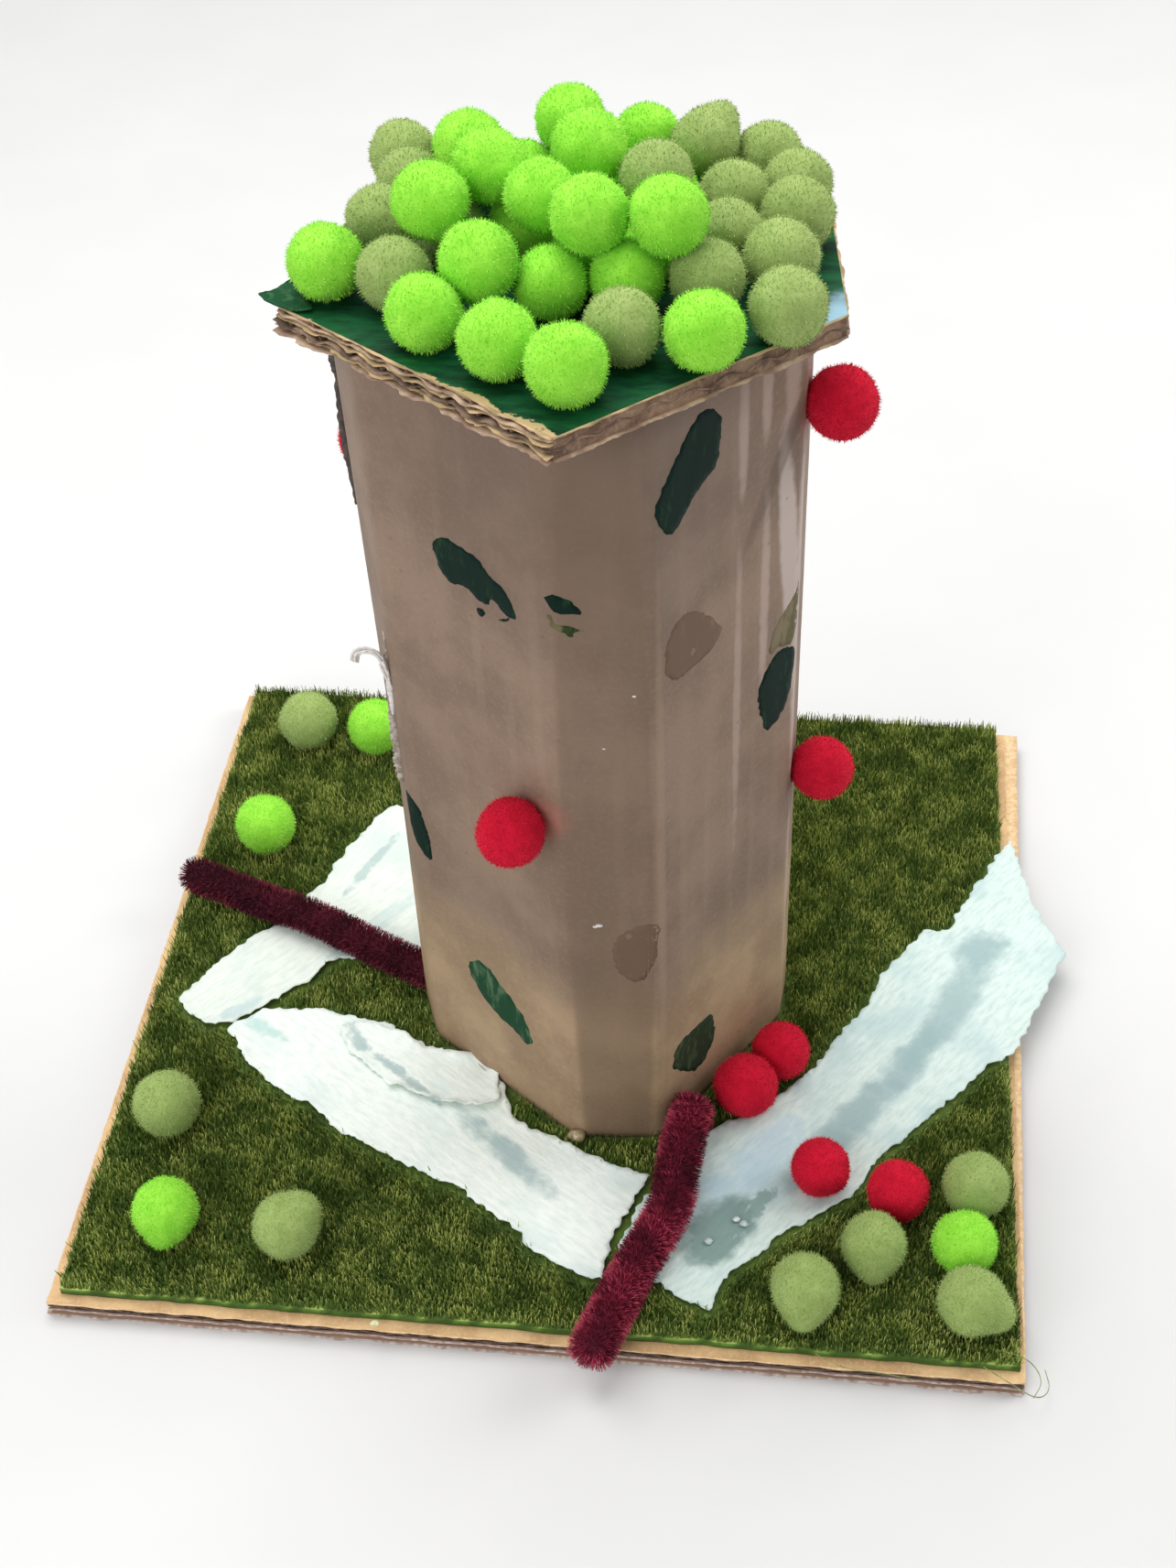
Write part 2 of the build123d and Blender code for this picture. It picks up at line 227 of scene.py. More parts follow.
class Graph:
    """Adds nodes to a node tree and joins them."""

    def __init__(self, tree: Tree) -> None:
        """Keep the tree that is filled."""
        self.tree = tree

    def add(self, kind: str, inputs: dict[str | int, Value] | None = None, **settings: object) -> Node:
        """Add one node.

        Args:
            kind: Type name of the node.
            inputs: Sockets or plain values by input name or number.
            **settings: Properties of the node.

        Returns:
            The new node.
        """
        node = self.tree.nodes.new(kind)
        for name, value in settings.items():
            setattr(node, name, value)
        for key, value in (inputs or {}).items():
            self.feed(node.inputs[key], value)
        return node

    def feed(self, socket: Socket, value: Value) -> None:
        """Link a socket to another one, or set its plain value.

        Args:
            socket: Input that takes the value.
            value: Socket or plain value.
        """
        if isinstance(value, Socket):
            self.tree.links.new(value, socket)
        else:
            socket.default_value = value

    def math(self, operation: str, first: Value, second: Value = 0.0, clamp: bool = False) -> Socket:
        """Return the output of a Math node."""
        inputs = {0: first, 1: second}
        return self.add("ShaderNodeMath", inputs, operation=operation, use_clamp=clamp).outputs[0]

    def times(self, first: Value, second: Value) -> Socket:
        """Return a product."""
        return self.math("MULTIPLY", first, second)

    def plus(self, first: Value, second: Value) -> Socket:
        """Return a sum."""
        return self.math("ADD", first, second)

    def minus(self, first: Value, second: Value) -> Socket:
        """Return a difference."""
        return self.math("SUBTRACT", first, second)

    def over(self, first: Value, second: Value) -> Socket:
        """Return a quotient."""
        return self.math("DIVIDE", first, second)

    def measure(self, operation: str, first: Value, second: Value) -> Socket:
        """Return the number that a Vector Math node makes of two vectors."""
        return self.add("ShaderNodeVectorMath", {0: first, 1: second}, operation=operation).outputs["Value"]

    def combine(self, x: Value, y: Value, z: Value = 0.0) -> Socket:
        """Return the vector of three numbers."""
        return self.add("ShaderNodeCombineXYZ", {0: x, 1: y, 2: z}).outputs[0]

    def separate(self, vector: Value) -> tuple[Socket, ...]:
        """Return the three numbers of a vector."""
        return tuple(self.add("ShaderNodeSeparateXYZ", {0: vector}).outputs)

    def stretch(self, vector: Value, scale: tuple = (1.0, 1.0, 1.0), turn: tuple = (0.0, 0.0, 0.0)) -> Socket:
        """Return a vector scaled and turned by a Mapping node."""
        return self.add("ShaderNodeMapping", {"Vector": vector, "Scale": scale, "Rotation": turn}).outputs[0]

    def mix(self, factor: Value, first: Value, second: Value) -> Socket:
        """Return the colour between two colours."""
        return self.add("ShaderNodeMix", {0: factor, 6: first, 7: second}, data_type="RGBA").outputs[2]

    def between(self, factor: Value, first: Value, second: Value) -> Socket:
        """Return the number between two numbers."""
        return self.add("ShaderNodeMix", {0: factor, 2: first, 3: second}, data_type="FLOAT").outputs[0]

    def smooth(self, value: Value, low: Value, high: Value) -> Socket:
        """Return 0 below low and 1 above high, with a soft step between."""
        inputs = {"Value": value, "From Min": low, "From Max": high}
        return self.add("ShaderNodeMapRange", inputs, interpolation_type="SMOOTHSTEP").outputs[0]

    def noise(self, vector: Value, scale: Value, detail: float = 3.0, roughness: float = 0.55) -> Socket:
        """Return the value of a noise texture, about 0.5 on average."""
        inputs = {"Vector": vector, "Scale": scale, "Detail": detail, "Roughness": roughness}
        return self.add("ShaderNodeTexNoise", inputs).outputs[0]

    def cells(self, vector: Value, scale: float) -> Socket:
        """Return the distance from the nearest of scattered points."""
        return self.add("ShaderNodeTexVoronoi", {"Vector": vector, "Scale": scale}).outputs["Distance"]

    def attribute(self, name: str) -> Socket:
        """Return the value of a named attribute of the piece."""
        return self.add("ShaderNodeAttribute", attribute_name=name).outputs["Fac"]

    def group(self, tree: Tree, values: dict) -> Node:
        """Place a node group and set its inputs.

        Args:
            tree: The group's tree.
            values: Sockets or plain values by input name.

        Returns:
            The group node.
        """
        node = self.add(f"{self.tree.bl_idname.replace('Tree', '')}Group", node_tree=tree)
        for name, value in values.items():
            self.feed(node.inputs[name], value)
        return node


def new_group(name: str, inputs: dict[str, object], outputs: dict[str, str]) -> tuple[Graph, dict, dict]:
    """Start a shader node group.

    Args:
        name: Name of the group.
        inputs: Plain value of each input; its type sets the socket's type.
        outputs: Socket type of each output.

    Returns:
        The graph, the group's input sockets by name, and its output node's sockets by name.
    """
    tree = bpy.data.node_groups.new(name, "ShaderNodeTree")
    for label, value in inputs.items():
        kind = "NodeSocketFloat"
        if isinstance(value, tuple):
            kind = "NodeSocketColor" if len(value) == 4 else "NodeSocketVector"
        socket = tree.interface.new_socket(name=label, in_out="INPUT", socket_type=kind)
        socket.default_value = value
    for label, kind in outputs.items():
        tree.interface.new_socket(name=label, in_out="OUTPUT", socket_type=kind)
    graph = Graph(tree)
    start = tree.nodes.new("NodeGroupInput")
    end = tree.nodes.new("NodeGroupOutput")
    return graph, {s.name: s for s in start.outputs if s.name}, {s.name: s for s in end.inputs if s.name}


class Effects:
    """Shader effects that several materials share, each built once."""

    def __init__(self) -> None:
        """Build the groups."""
        self.mottle = self._mottle()
        self.patch = self._patch()
        self.pile = self._pile()

    def _mottle(self) -> Tree:
        """Paper stock: cloudy tone, fine fibres and specks on a position in millimetres.

        Returns:
            The group's tree.
        """
        names = {
            "Position": (0.0, 0.0, 0.0), "Base": rgb(150, 125, 100), "Dark": rgb(125, 100, 85),
            "Light": rgb(175, 150, 125), "Cloud": 22.0, "Fibre": 0.5, "Speck": 0.35,
        }
        kinds = {"Colour": "NodeSocketColor", "Height": "NodeSocketFloat"}
        graph, given, out = new_group("paper_stock", names, kinds)
        position = given["Position"]
        cloud = graph.noise(position, graph.over(1.0, given["Cloud"]), 4.0, 0.6)
        grain = graph.noise(position, 0.9, 4.0, 0.7)
        stretched = graph.stretch(position, (2.6, 0.5, 2.6))
        fibre = graph.noise(stretched, 1.6, 2.0, 0.6)
        specks = graph.cells(position, 0.33)
        colour = graph.mix(graph.smooth(cloud, 0.38, 0.62), given["Dark"], given["Base"])
        lift = graph.times(graph.smooth(grain, 0.45, 0.75), given["Fibre"])
        colour = graph.mix(lift, colour, given["Light"])
        thread = graph.times(graph.smooth(fibre, 0.6, 0.72), graph.times(given["Fibre"], 0.6))
        colour = graph.mix(thread, colour, given["Dark"])
        spot = graph.minus(1.0, graph.smooth(specks, 0.05, 0.14))
        colour = graph.mix(graph.times(spot, given["Speck"]), colour, given["Dark"])
        graph.feed(out["Colour"], colour)
        height = graph.plus(graph.times(grain, 0.6), graph.times(fibre, 0.4))
        graph.feed(out["Height"], height)
        return graph.tree

    def _patch(self) -> Tree:
        """Mask of one long soft patch on a surface with two coordinates in millimetres.

        Returns:
            The group's tree.
        """
        names = {
            "Along": 0.0, "Up": 0.0, "Centre Along": 0.0, "Centre Up": 0.0, "Turn": 0.0, "Half Length": 10.0,
            "Half Width": 3.0, "Ragged": 0.3, "Ragged Size": 4.0, "Edge": 0.3,
        }
        graph, given, out = new_group("soft_patch", names, {"Mask": "NodeSocketFloat"})
        across = graph.minus(given["Along"], given["Centre Along"])
        rise = graph.minus(given["Up"], given["Centre Up"])
        cosine = graph.math("COSINE", given["Turn"])
        sine = graph.math("SINE", given["Turn"])
        along = graph.plus(graph.times(across, cosine), graph.times(rise, sine))
        side = graph.minus(graph.times(rise, cosine), graph.times(across, sine))
        along = graph.over(along, given["Half Length"])
        side = graph.over(side, given["Half Width"])
        reach = graph.plus(graph.times(along, along), graph.times(side, side))
        spot = graph.combine(given["Along"], given["Up"])
        wander = graph.noise(spot, graph.over(1.0, given["Ragged Size"]), 4.0, 0.6)
        wander = graph.times(graph.minus(wander, 0.5), given["Ragged"])
        inside = graph.plus(graph.minus(1.0, reach), graph.times(wander, 4.0))
        graph.feed(out["Mask"], graph.smooth(inside, 0.0, given["Edge"]))
        return graph.tree

    def _pile(self) -> Tree:
        """Colour of a fibre from its root to its tip, different from fibre to fibre; the tip's lighter colour is
        partly painted highlight and the root's darker colour partly painted shade deep in the pile.

        Returns:
            The group's tree.
        """
        names = {
            "Rise": 0.0, "Tint": 0.5, "Position": (0.0, 0.0, 0.0), "Root": rgb(40, 60, 25),
            "Middle": rgb(80, 100, 40), "Tip": rgb(130, 140, 60), "Cloud": 8.0, "Cloud Share": 0.45,
            "Tip From": 0.55,
        }
        graph, given, out = new_group("pile_tone", names, {"Colour": "NodeSocketColor"})
        cloud = graph.noise(given["Position"], graph.over(1.0, given["Cloud"]), 3.0, 0.6)
        cloud = graph.smooth(cloud, 0.35, 0.65)
        shade = graph.between(given["Cloud Share"], given["Tint"], cloud)
        body = graph.mix(shade, given["Root"], given["Middle"])
        # Painted highlight in part: the fibres lighten towards the tip colour.
        tip = graph.smooth(given["Rise"], given["Tip From"], 1.0)
        tip = graph.times(tip, graph.smooth(shade, 0.25, 0.85))
        colour = graph.mix(tip, body, given["Tip"])
        # Painted shade in part: low in the pile the colour darkens towards the root colour.
        depth = graph.smooth(given["Rise"], -0.35, 0.5)
        graph.feed(out["Colour"], graph.mix(depth, given["Root"], colour))
        return graph.tree


EFFECTS = Effects()


def start_material(name: str, roughness: float, **constants: Value) -> tuple[Material, Graph, Node]:
    """Make a material with one Principled shader.

    Args:
        name: Name of the material.
        roughness: Roughness where nothing is linked to it.
        **constants: Plain values of the shader's sockets, with underscores for spaces.

    Returns:
        The material, its graph and the shader node.
    """
    material = bpy.data.materials.new(name)
    material.use_nodes = True
    graph = Graph(material.node_tree)
    shader = material.node_tree.nodes["Principled BSDF"]
    shader.inputs["Roughness"].default_value = roughness
    for key, value in constants.items():
        shader.inputs[key.replace("_", " ")].default_value = value
    return material, graph, shader


def position_mm(graph: Graph) -> Socket:
    """Return the Object coordinates in millimetres."""
    place = graph.add("ShaderNodeTexCoord").outputs["Object"]
    return graph.stretch(place, (1 / MM, 1 / MM, 1 / MM))


def bump(graph: Graph, shader: Node, height: Value, distance: float, strength: float = 1.0) -> None:
    """Feed the shader's normal from a height."""
    node = graph.add("ShaderNodeBump", {"Height": height, "Distance": distance, "Strength": strength})
    graph.feed(shader.inputs["Normal"], node.outputs[0])


def stock_tone(graph: Graph, place: Value, tones: Sequence[Colour], cloud: float, fibre: float = 0.5) -> Node:
    """Place the paper stock effect.

    Args:
        graph: Graph of the material.
        place: Position in millimetres.
        tones: Base, dark and light tone.
        cloud: Size of the clouds in millimetres.
        fibre: How much of the fibres shows.

    Returns:
        The node, whose outputs are Colour and Height.
    """
    base, dark, light = tones
    return graph.group(EFFECTS.mottle, {
        "Position": place, "Base": base, "Dark": dark, "Light": light, "Cloud": cloud, "Fibre": fibre,
    })


@dataclass(frozen=True)
class StockFinish:
    """Bare corrugated stock, whose tone changes with the height in the board."""

    name: str
    face: Colour = rgb(222, 184, 134)
    face_dark: Colour = rgb(196, 156, 110)
    face_light: Colour = rgb(238, 208, 165)
    core: Colour = rgb(150, 118, 100)
    core_dark: Colour = rgb(108, 84, 72)
    core_light: Colour = rgb(206, 172, 152)
    under: Colour = rgb(196, 164, 142)
    under_dark: Colour = rgb(160, 128, 108)
    face_from: float = 4.0
    under_to: float = 0.4
    blend: float = 0.02

    def material(self) -> Material:
        """Build the material on Object coordinates.

        Returns:
            The material.
        """
        material, graph, shader = start_material(self.name, 0.85)
        place = position_mm(graph)
        level = graph.separate(place)[2]
        top = stock_tone(graph, place, (self.face, self.face_dark, self.face_light), 14.0)
        core = stock_tone(graph, place, (self.core, self.core_dark, self.core_light), 6.0)
        under = graph.mix(graph.noise(place, 0.4), self.under, self.under_dark)
        over_under = graph.smooth(level, self.under_to, self.under_to + self.blend)
        colour = graph.mix(over_under, under, core.outputs["Colour"])
        on_face = graph.smooth(level, self.face_from - self.blend, self.face_from)
        graph.feed(shader.inputs["Base Color"], graph.mix(on_face, colour, top.outputs["Colour"]))
        bump(graph, shader, top.outputs["Height"], 0.12 * MM, 0.7)
        return material


@dataclass(frozen=True)
class PaintedFinish:
    """Roof board: painted green on top, bare at the sides, dark below, with a painted reflection of light on its right
    corner.
    """

    name: str
    origin: Vector
    normal: Vector
    thickness: float
    corners: Sequence[Vector]
    paint: Colour = rgb(20, 82, 46)
    paint_dark: Colour = rgb(8, 46, 30)
    paint_light: Colour = rgb(46, 122, 62)
    bare: Colour = rgb(190, 162, 120)
    # Painted reflection: blue-white light reflected on the right corner.
    gloss: Colour = rgb(168, 204, 224)
    stock: Sequence[Colour] = (rgb(150, 122, 100), rgb(105, 82, 68), rgb(190, 162, 136))
    smear: Colour = rgb(70, 78, 48)
    bare_from: float = 0.35
    bare_to: float = 0.9
    bare_width: float = 1.6
    gloss_reach: float = 11.0

    def material(self) -> Material:
        """Build the material on Object coordinates.

        Returns:
            The material.
        """
        material, graph, shader = start_material(self.name, 0.5, Specular_IOR_Level=0.12)
        place = position_mm(graph)
        streak = graph.noise(graph.stretch(place, (0.35, 1.0, 1.0), (0.0, 0.0, 0.7)), 0.22, 5.0, 0.65)
        cloud = graph.noise(place, 0.06, 2.0)
        light = graph.times(graph.smooth(streak, 0.6, 0.75), graph.smooth(cloud, 0.4, 0.6))
        paint = graph.mix(graph.smooth(streak, 0.35, 0.62), self.paint_dark, self.paint)
        paint = self.worn(graph, place, graph.mix(light, paint, self.paint_light))
        stock = stock_tone(graph, place, self.stock, 7.0).outputs["Colour"]
        smear = graph.smooth(graph.noise(place, 0.12, 4.0), 0.5, 0.58)
        below = graph.mix(graph.times(smear, 0.8), stock, self.smear)
        origin = {0: place, 1: tuple(self.origin / MM)}
        offset = graph.add("ShaderNodeVectorMath", origin, operation="SUBTRACT").outputs[0]
        height = graph.measure("DOT_PRODUCT", offset, tuple(self.normal))
        colour = graph.mix(graph.minus(1.0, graph.smooth(height, 0.02, 0.06)), stock, below)
        ragged = graph.times(graph.minus(graph.noise(place, 0.5, 4.0), 0.5), 0.5)
        top_from = graph.plus(self.thickness / MM - 0.22, ragged)
        on_top = graph.smooth(height, top_from, graph.plus(top_from, 0.06))
        graph.feed(shader.inputs["Base Color"], graph.mix(on_top, colour, paint))
        rough = graph.between(on_top, 0.85, 0.5)
        graph.feed(shader.inputs["Roughness"], graph.plus(rough, graph.times(light, 0.12)))
        bump(graph, shader, graph.plus(streak, graph.times(cloud, 0.5)), 0.35 * MM, 0.8)
        return material

    def worn(self, graph: Graph, place: Socket, paint: Socket) -> Socket:
        """Bare the board along its front left edge and paint a reflection of light on its right corner.

        Args:
            graph: Graph of the material.
            place: Position in millimetres.
            paint: Colour of the paint.

        Returns:
            The colour with the bared edge and the painted reflection.
        """
        left, front, right = self.corners
        edge = (front - left).normalized()
        length = (front - left).length
        fray = graph.times(graph.minus(graph.noise(place, 0.16, 4.0, 0.7), 0.5), 7.0)
        beyond = graph.measure("DOT_PRODUCT", place, (edge.y, -edge.x, 0.0))
        beyond = graph.plus(graph.minus(beyond, edge.y * left.x - edge.x * left.y), fray)
        share = graph.minus(graph.measure("DOT_PRODUCT", place, (edge.x, edge.y, 0.0)), edge.dot(left))
        bared = graph.smooth(share, self.bare_from * length, self.bare_to * length)
        beyond = graph.plus(beyond, graph.times(bared, self.bare_width))
        paint = graph.mix(graph.smooth(beyond, 0.3, 0.8), paint, self.bare)
        # Painted reflection: blue-white light on the glossy paint at the right corner, fading with distance from it.
        reach = graph.plus(graph.measure("DISTANCE", place, (*right, self.origin.z / MM)), fray)
        reflection_mask = graph.times(graph.smooth(reach, self.gloss_reach, 5.0), 0.8)
        return graph.mix(reflection_mask, paint, self.gloss)


@dataclass(frozen=True)
class WallPatch:
    """Soft patch of tone on the wall, along and up its outer face in millimetres."""

    along: float
    up: float
    turn: float
    half_length: float
    half_width: float
    colour: Colour
    strength: float
    ragged: float = 0.2
    edge: float = 0.8
    ragged_size: float = 4.0
    wet: bool = False

    def mask(self, graph: Graph, along: Value, up: Value) -> Socket:
        """Place the soft patch effect.

        Args:
            graph: Graph of the material.
            along: First coordinate of the surface in millimetres.
            up: Second coordinate in millimetres.

        Returns:
            The patch's mask.
        """
        return graph.group(EFFECTS.patch, {
            "Along": along, "Up": up, "Centre Along": self.along, "Centre Up": self.up, "Turn": self.turn,
            "Half Length": self.half_length, "Half Width": self.half_width, "Ragged": self.ragged,
            "Ragged Size": self.ragged_size, "Edge": self.edge,
        }).outputs["Mask"]


@dataclass(frozen=True)
class WallFinish:
    """Outer liner of the tower: brown kraft, yellower below, with faint flutes, painted highlights on the flute
    crests, and patches of painted light and shade.
    """

    name: str
    patches: Sequence[WallPatch]
    flute_pitch: float
    base: Colour = rgb(142, 118, 100)
    dark: Colour = rgb(124, 102, 85)
    light: Colour = rgb(166, 143, 122)
    low: Colour = rgb(176, 148, 116)
    low_dark: Colour = rgb(150, 124, 96)
    low_light: Colour = rgb(200, 172, 138)
    low_to: float = 52.0
    low_fade: float = 26.0
    # Strength of the painted highlight on the flute crests.
    flute_tone: float = 0.15

    def material(self) -> Material:
        """Build the material on the wall's own attributes.

        Returns:
            The material.
        """
        material, graph, shader = start_material(self.name, 0.62, Specular_IOR_Level=0.35)
        along, up = graph.attribute("along"), graph.attribute("up")
        place = graph.combine(along, up)
        high = stock_tone(graph, place, (self.base, self.dark, self.light), 26.0, 0.32)
        low = stock_tone(graph, place, (self.low, self.low_dark, self.low_light), 30.0, 0.3)
        wander = graph.times(graph.noise(place, 0.03, 3.0), 24.0)
        is_high = graph.smooth(graph.plus(up, wander), self.low_to, self.low_to + self.low_fade)
        colour = graph.mix(is_high, low.outputs["Colour"], high.outputs["Colour"])
        wave = graph.math("SINE", graph.times(along, 2 * math.pi / self.flute_pitch))
        # Painted highlight: the flute crests are lightened towards the light tone, patchily along the wall, for light
        # caught on the flutes.
        worn = graph.smooth(graph.noise(graph.stretch(place, (1.0, 0.16, 1.0)), 0.12, 3.0), 0.4, 0.62)
        flute = graph.times(graph.smooth(wave, 0.2, 1.0), graph.times(worn, self.flute_tone))
        colour = graph.mix(flute, colour, self.light)
        for patch in self.patches:
            share = graph.times(patch.mask(graph, along, up), patch.strength)
            colour = graph.mix(share, colour, patch.colour)
        pits = graph.smooth(graph.cells(place, 0.16), 0.045, 0.075)
        colour = graph.mix(graph.times(graph.minus(1.0, pits), 0.35), colour, self.dark)
        graph.feed(shader.inputs["Base Color"], colour)
        height = graph.plus(graph.plus(high.outputs["Height"], graph.times(wave, 0.4)), pits)
        bump(graph, shader, height, 0.16 * MM, 0.7)
        return material


@dataclass(frozen=True)
class DaubFinish:
    """Green paint brushed on thinly, dull where it has soaked in."""

    name: str
    colour: Colour = rgb(16, 37, 30)
    thin: Colour = rgb(32, 64, 42)
    thin_from: float = 0.56
    roughness: float = 0.6

    def material(self) -> Material:
        """Build the material on Object coordinates.

        Returns:
            The material.
        """
        material, graph, shader = start_material(self.name, self.roughness, Specular_IOR_Level=0.06)
        place = position_mm(graph)
        streak = graph.noise(graph.stretch(place, (1.0, 1.0, 0.3), (0.5, 0.0, 0.0)), 0.45, 4.0, 0.6)
        thin = graph.smooth(streak, self.thin_from, self.thin_from + 0.16)
        graph.feed(shader.inputs["Base Color"], graph.mix(thin, self.colour, self.thin))
        bump(graph, shader, streak, 0.12 * MM, 0.6)
        return material


@dataclass(frozen=True)
class PileFinish:
    """Fibres: felt, grass or chenille, by the fibre's own attributes."""

    name: str
    root: Colour
    middle: Colour
    tip: Colour
    cloud: float = 6.0
    tip_from: float = 0.4
    roughness: float = 0.9
    sheen: float = 0.2
    cloud_share: float = 0.45

    def material(self) -> Material:
        """Build the material.

        Returns:
            The material.
        """
        material, graph, shader = start_material(
            self.name, self.roughness, Sheen_Weight=self.sheen, Sheen_Roughness=0.5, Specular_IOR_Level=0.25,
            Sheen_Tint=self.tip,
        )
        tone = graph.group(EFFECTS.pile, {
            "Rise": graph.attribute("rise"), "Tint": graph.attribute("tint"), "Position": position_mm(graph),
            "Root": self.root, "Middle": self.middle, "Tip": self.tip, "Cloud": self.cloud,
            "Tip From": self.tip_from, "Cloud Share": self.cloud_share,
        })
        graph.feed(shader.inputs["Base Color"], tone.outputs["Colour"])
        return material


@dataclass(frozen=True)
class PaperFinish:
    """Paper towel with pale washes of blue paint, creped across its length."""

    name: str
    patches: Sequence[WallPatch]
    crepe_turn: float
    paper: Colour
    shade: Colour
    wash: Colour

    def material(self) -> Material:
        """Build the material on Object coordinates.

        Returns:
            The material.
        """
        material, graph, shader = start_material(self.name, 0.88, Sheen_Weight=0.12, Specular_IOR_Level=0.25)
        place = position_mm(graph)
        east, north, _ = graph.separate(place)
        flat = graph.combine(east, north)
        ribs = graph.stretch(graph.stretch(flat, turn=(0.0, 0.0, -self.crepe_turn)), (0.28, 1.0, 1.0))
        crepe = graph.noise(ribs, 0.95, 4.0, 0.62)
        cloud = graph.noise(flat, 0.045, 3.0, 0.6)
        colour = graph.mix(graph.smooth(crepe, 0.24, 0.66), self.shade, self.paper)
        colour = graph.mix(graph.times(graph.smooth(cloud, 0.48, 0.66), 0.55), colour, self.wash)
        for patch in self.patches:
            mask = patch.mask(graph, east, north)
            colour = graph.mix(graph.times(mask, patch.strength), colour, patch.colour)
            if patch.wet:
                drops = graph.smooth(graph.cells(flat, 0.5), 0.5, 0.2)
                graph.feed(shader.inputs["Coat Weight"], graph.times(mask, drops))
                shader.inputs["Coat Roughness"].default_value = 0.12
        graph.feed(shader.inputs["Base Color"], colour)
        bump(graph, shader, crepe, 0.25 * MM, 0.8)
        return material


@dataclass(frozen=True)
class PlainFinish:
    """Small marks and threads: one tone with a soft change over the surface."""

    name: str
    colour: Colour
    other: Colour
    patch: float = 1.2
    roughness: float = 0.8
    coat: float = 0.0

    def material(self) -> Material:
        """Build the material on Object coordinates.

        Returns:
            The material.
        """
        material, graph, shader = start_material(self.name, self.roughness, Coat_Weight=self.coat)
        cloud = graph.noise(position_mm(graph), 1 / self.patch, 3.0)
        colour = graph.mix(graph.smooth(cloud, 0.35, 0.65), self.colour, self.other)
        graph.feed(shader.inputs["Base Color"], colour)
        bump(graph, shader, cloud, 0.15 * MM, 0.6)
        return material


Finish = StockFinish | PaintedFinish | WallFinish | DaubFinish | PileFinish | PaperFinish | PlainFinish


@dataclass
class Piece:
    """Mesh data of one piece while it is made: vertices in metres, faces, and values on the vertices."""

    vertices: list[Vector] = field(default_factory=list)
    faces: list[Face] = field(default_factory=list)
    values: dict[str, list[float]] = field(default_factory=dict)
    finishes: list[int] = field(default_factory=list)

    def join(
        self, vertices: Sequence[Vector], faces: Iterable[Face], finish: int = 0, **values: list[float],
    ) -> None:
        """Add more vertices and faces.

        Args:
            vertices: Places in metres.
            faces: Corners of each face, counted within these vertices.
            finish: Number of the material.
            **values: A list for each attribute, one number for each vertex.
        """
        first = len(self.vertices)
        self.vertices.extend(vertices)
        new = [tuple(first + index for index in face) for face in faces]
        self.faces.extend(new)
        self.finishes.extend([finish] * len(new))
        for name, numbers in values.items():
            self.values.setdefault(name, []).extend(numbers)

    def object(self, name: str, materials: Sequence[Material]) -> Object:
        """Make the scene object.

        Args:
            name: Name of the object.
            materials: Materials by number.

        Returns:
            The object, at the origin.
        """
        mesh = bpy.data.meshes.new(name)
        mesh.from_pydata([tuple(v) for v in self.vertices], [], self.faces)
        for material in materials:
            mesh.materials.append(material)
        mesh.polygons.foreach_set("material_index", self.finishes)
        mesh.polygons.foreach_set("use_smooth", [True] * len(mesh.polygons))
        for label, numbers in self.values.items():
            mesh.attributes.new(label, "FLOAT", "POINT").data.foreach_set("value", numbers)
        mesh.update()
        made = bpy.data.objects.new(name, mesh)
        bpy.context.scene.collection.objects.link(made)
        return made


def place_piece(made: Object, slot: Slot, *replaced: str) -> Object:
    """Give a finished piece its body, its slot and the nodes that it stands for.

    Args:
        made: The piece.
        slot: Its material slot.
        *replaced: Nodes that it stands for.

    Returns:
        The piece.
    """
    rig.ride(made, BODY)
    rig.slot(made, slot.value)
    if replaced:
        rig.replaces(made, *replaced)
    made.data.calc_loop_triangles()
    log.info("%s: %d triangles", made.name, len(made.data.loop_triangles))
    return made


def finish_piece(piece: Piece, name: str, slot: Slot, *finishes: Finish) -> Object:
    """Make a piece of its mesh data.

    Args:
        piece: The mesh data.
        name: Name of the piece.
        slot: Its material slot.
        *finishes: Finishes by number.

    Returns:
        The piece.
    """
    return place_piece(piece.object(name, [finish.material() for finish in finishes]), slot)


def node_points(node: str) -> np.ndarray:
    """Read the vertices of a frame node.

    Args:
        node: Name of the node.

    Returns:
        Places in millimetres, one in each row.
    """
    mesh = frame["nodes"][node].data
    points = np.zeros(len(mesh.vertices) * 3)
    mesh.vertices.foreach_get("co", points)
    return points.reshape(-1, 3) / MM


def node_islands(node: str) -> list[np.ndarray]:
    """Read the vertices of each separate solid of a frame node.

    Args:
        node: Name of the node.

    Returns:
        Places in millimetres for each solid, in the order of their centres.
    """
    shell = bmesh.new()
    shell.from_mesh(frame["nodes"][node].data)
    bmesh.ops.remove_doubles(shell, verts=shell.verts, dist=0.001 * MM)
    found = []
    unseen = set(shell.verts)
    while unseen:
        group, front = [], [unseen.pop()]
        while front:
            vertex = front.pop()
            group.append(tuple(vertex.co / MM))
            fresh = [e.other_vert(vertex) for e in vertex.link_edges if e.other_vert(vertex) in unseen]
            unseen.difference_update(fresh)
            front.extend(fresh)
        found.append(np.array(group))
    shell.free()
    return sorted(found, key=lambda solid: tuple(solid.mean(0)))


def around(ring: Sequence) -> Iterable[tuple]:
    """Return every item of a closed row together with the one after it."""
    return zip(ring, [*ring[1:], ring[0]])


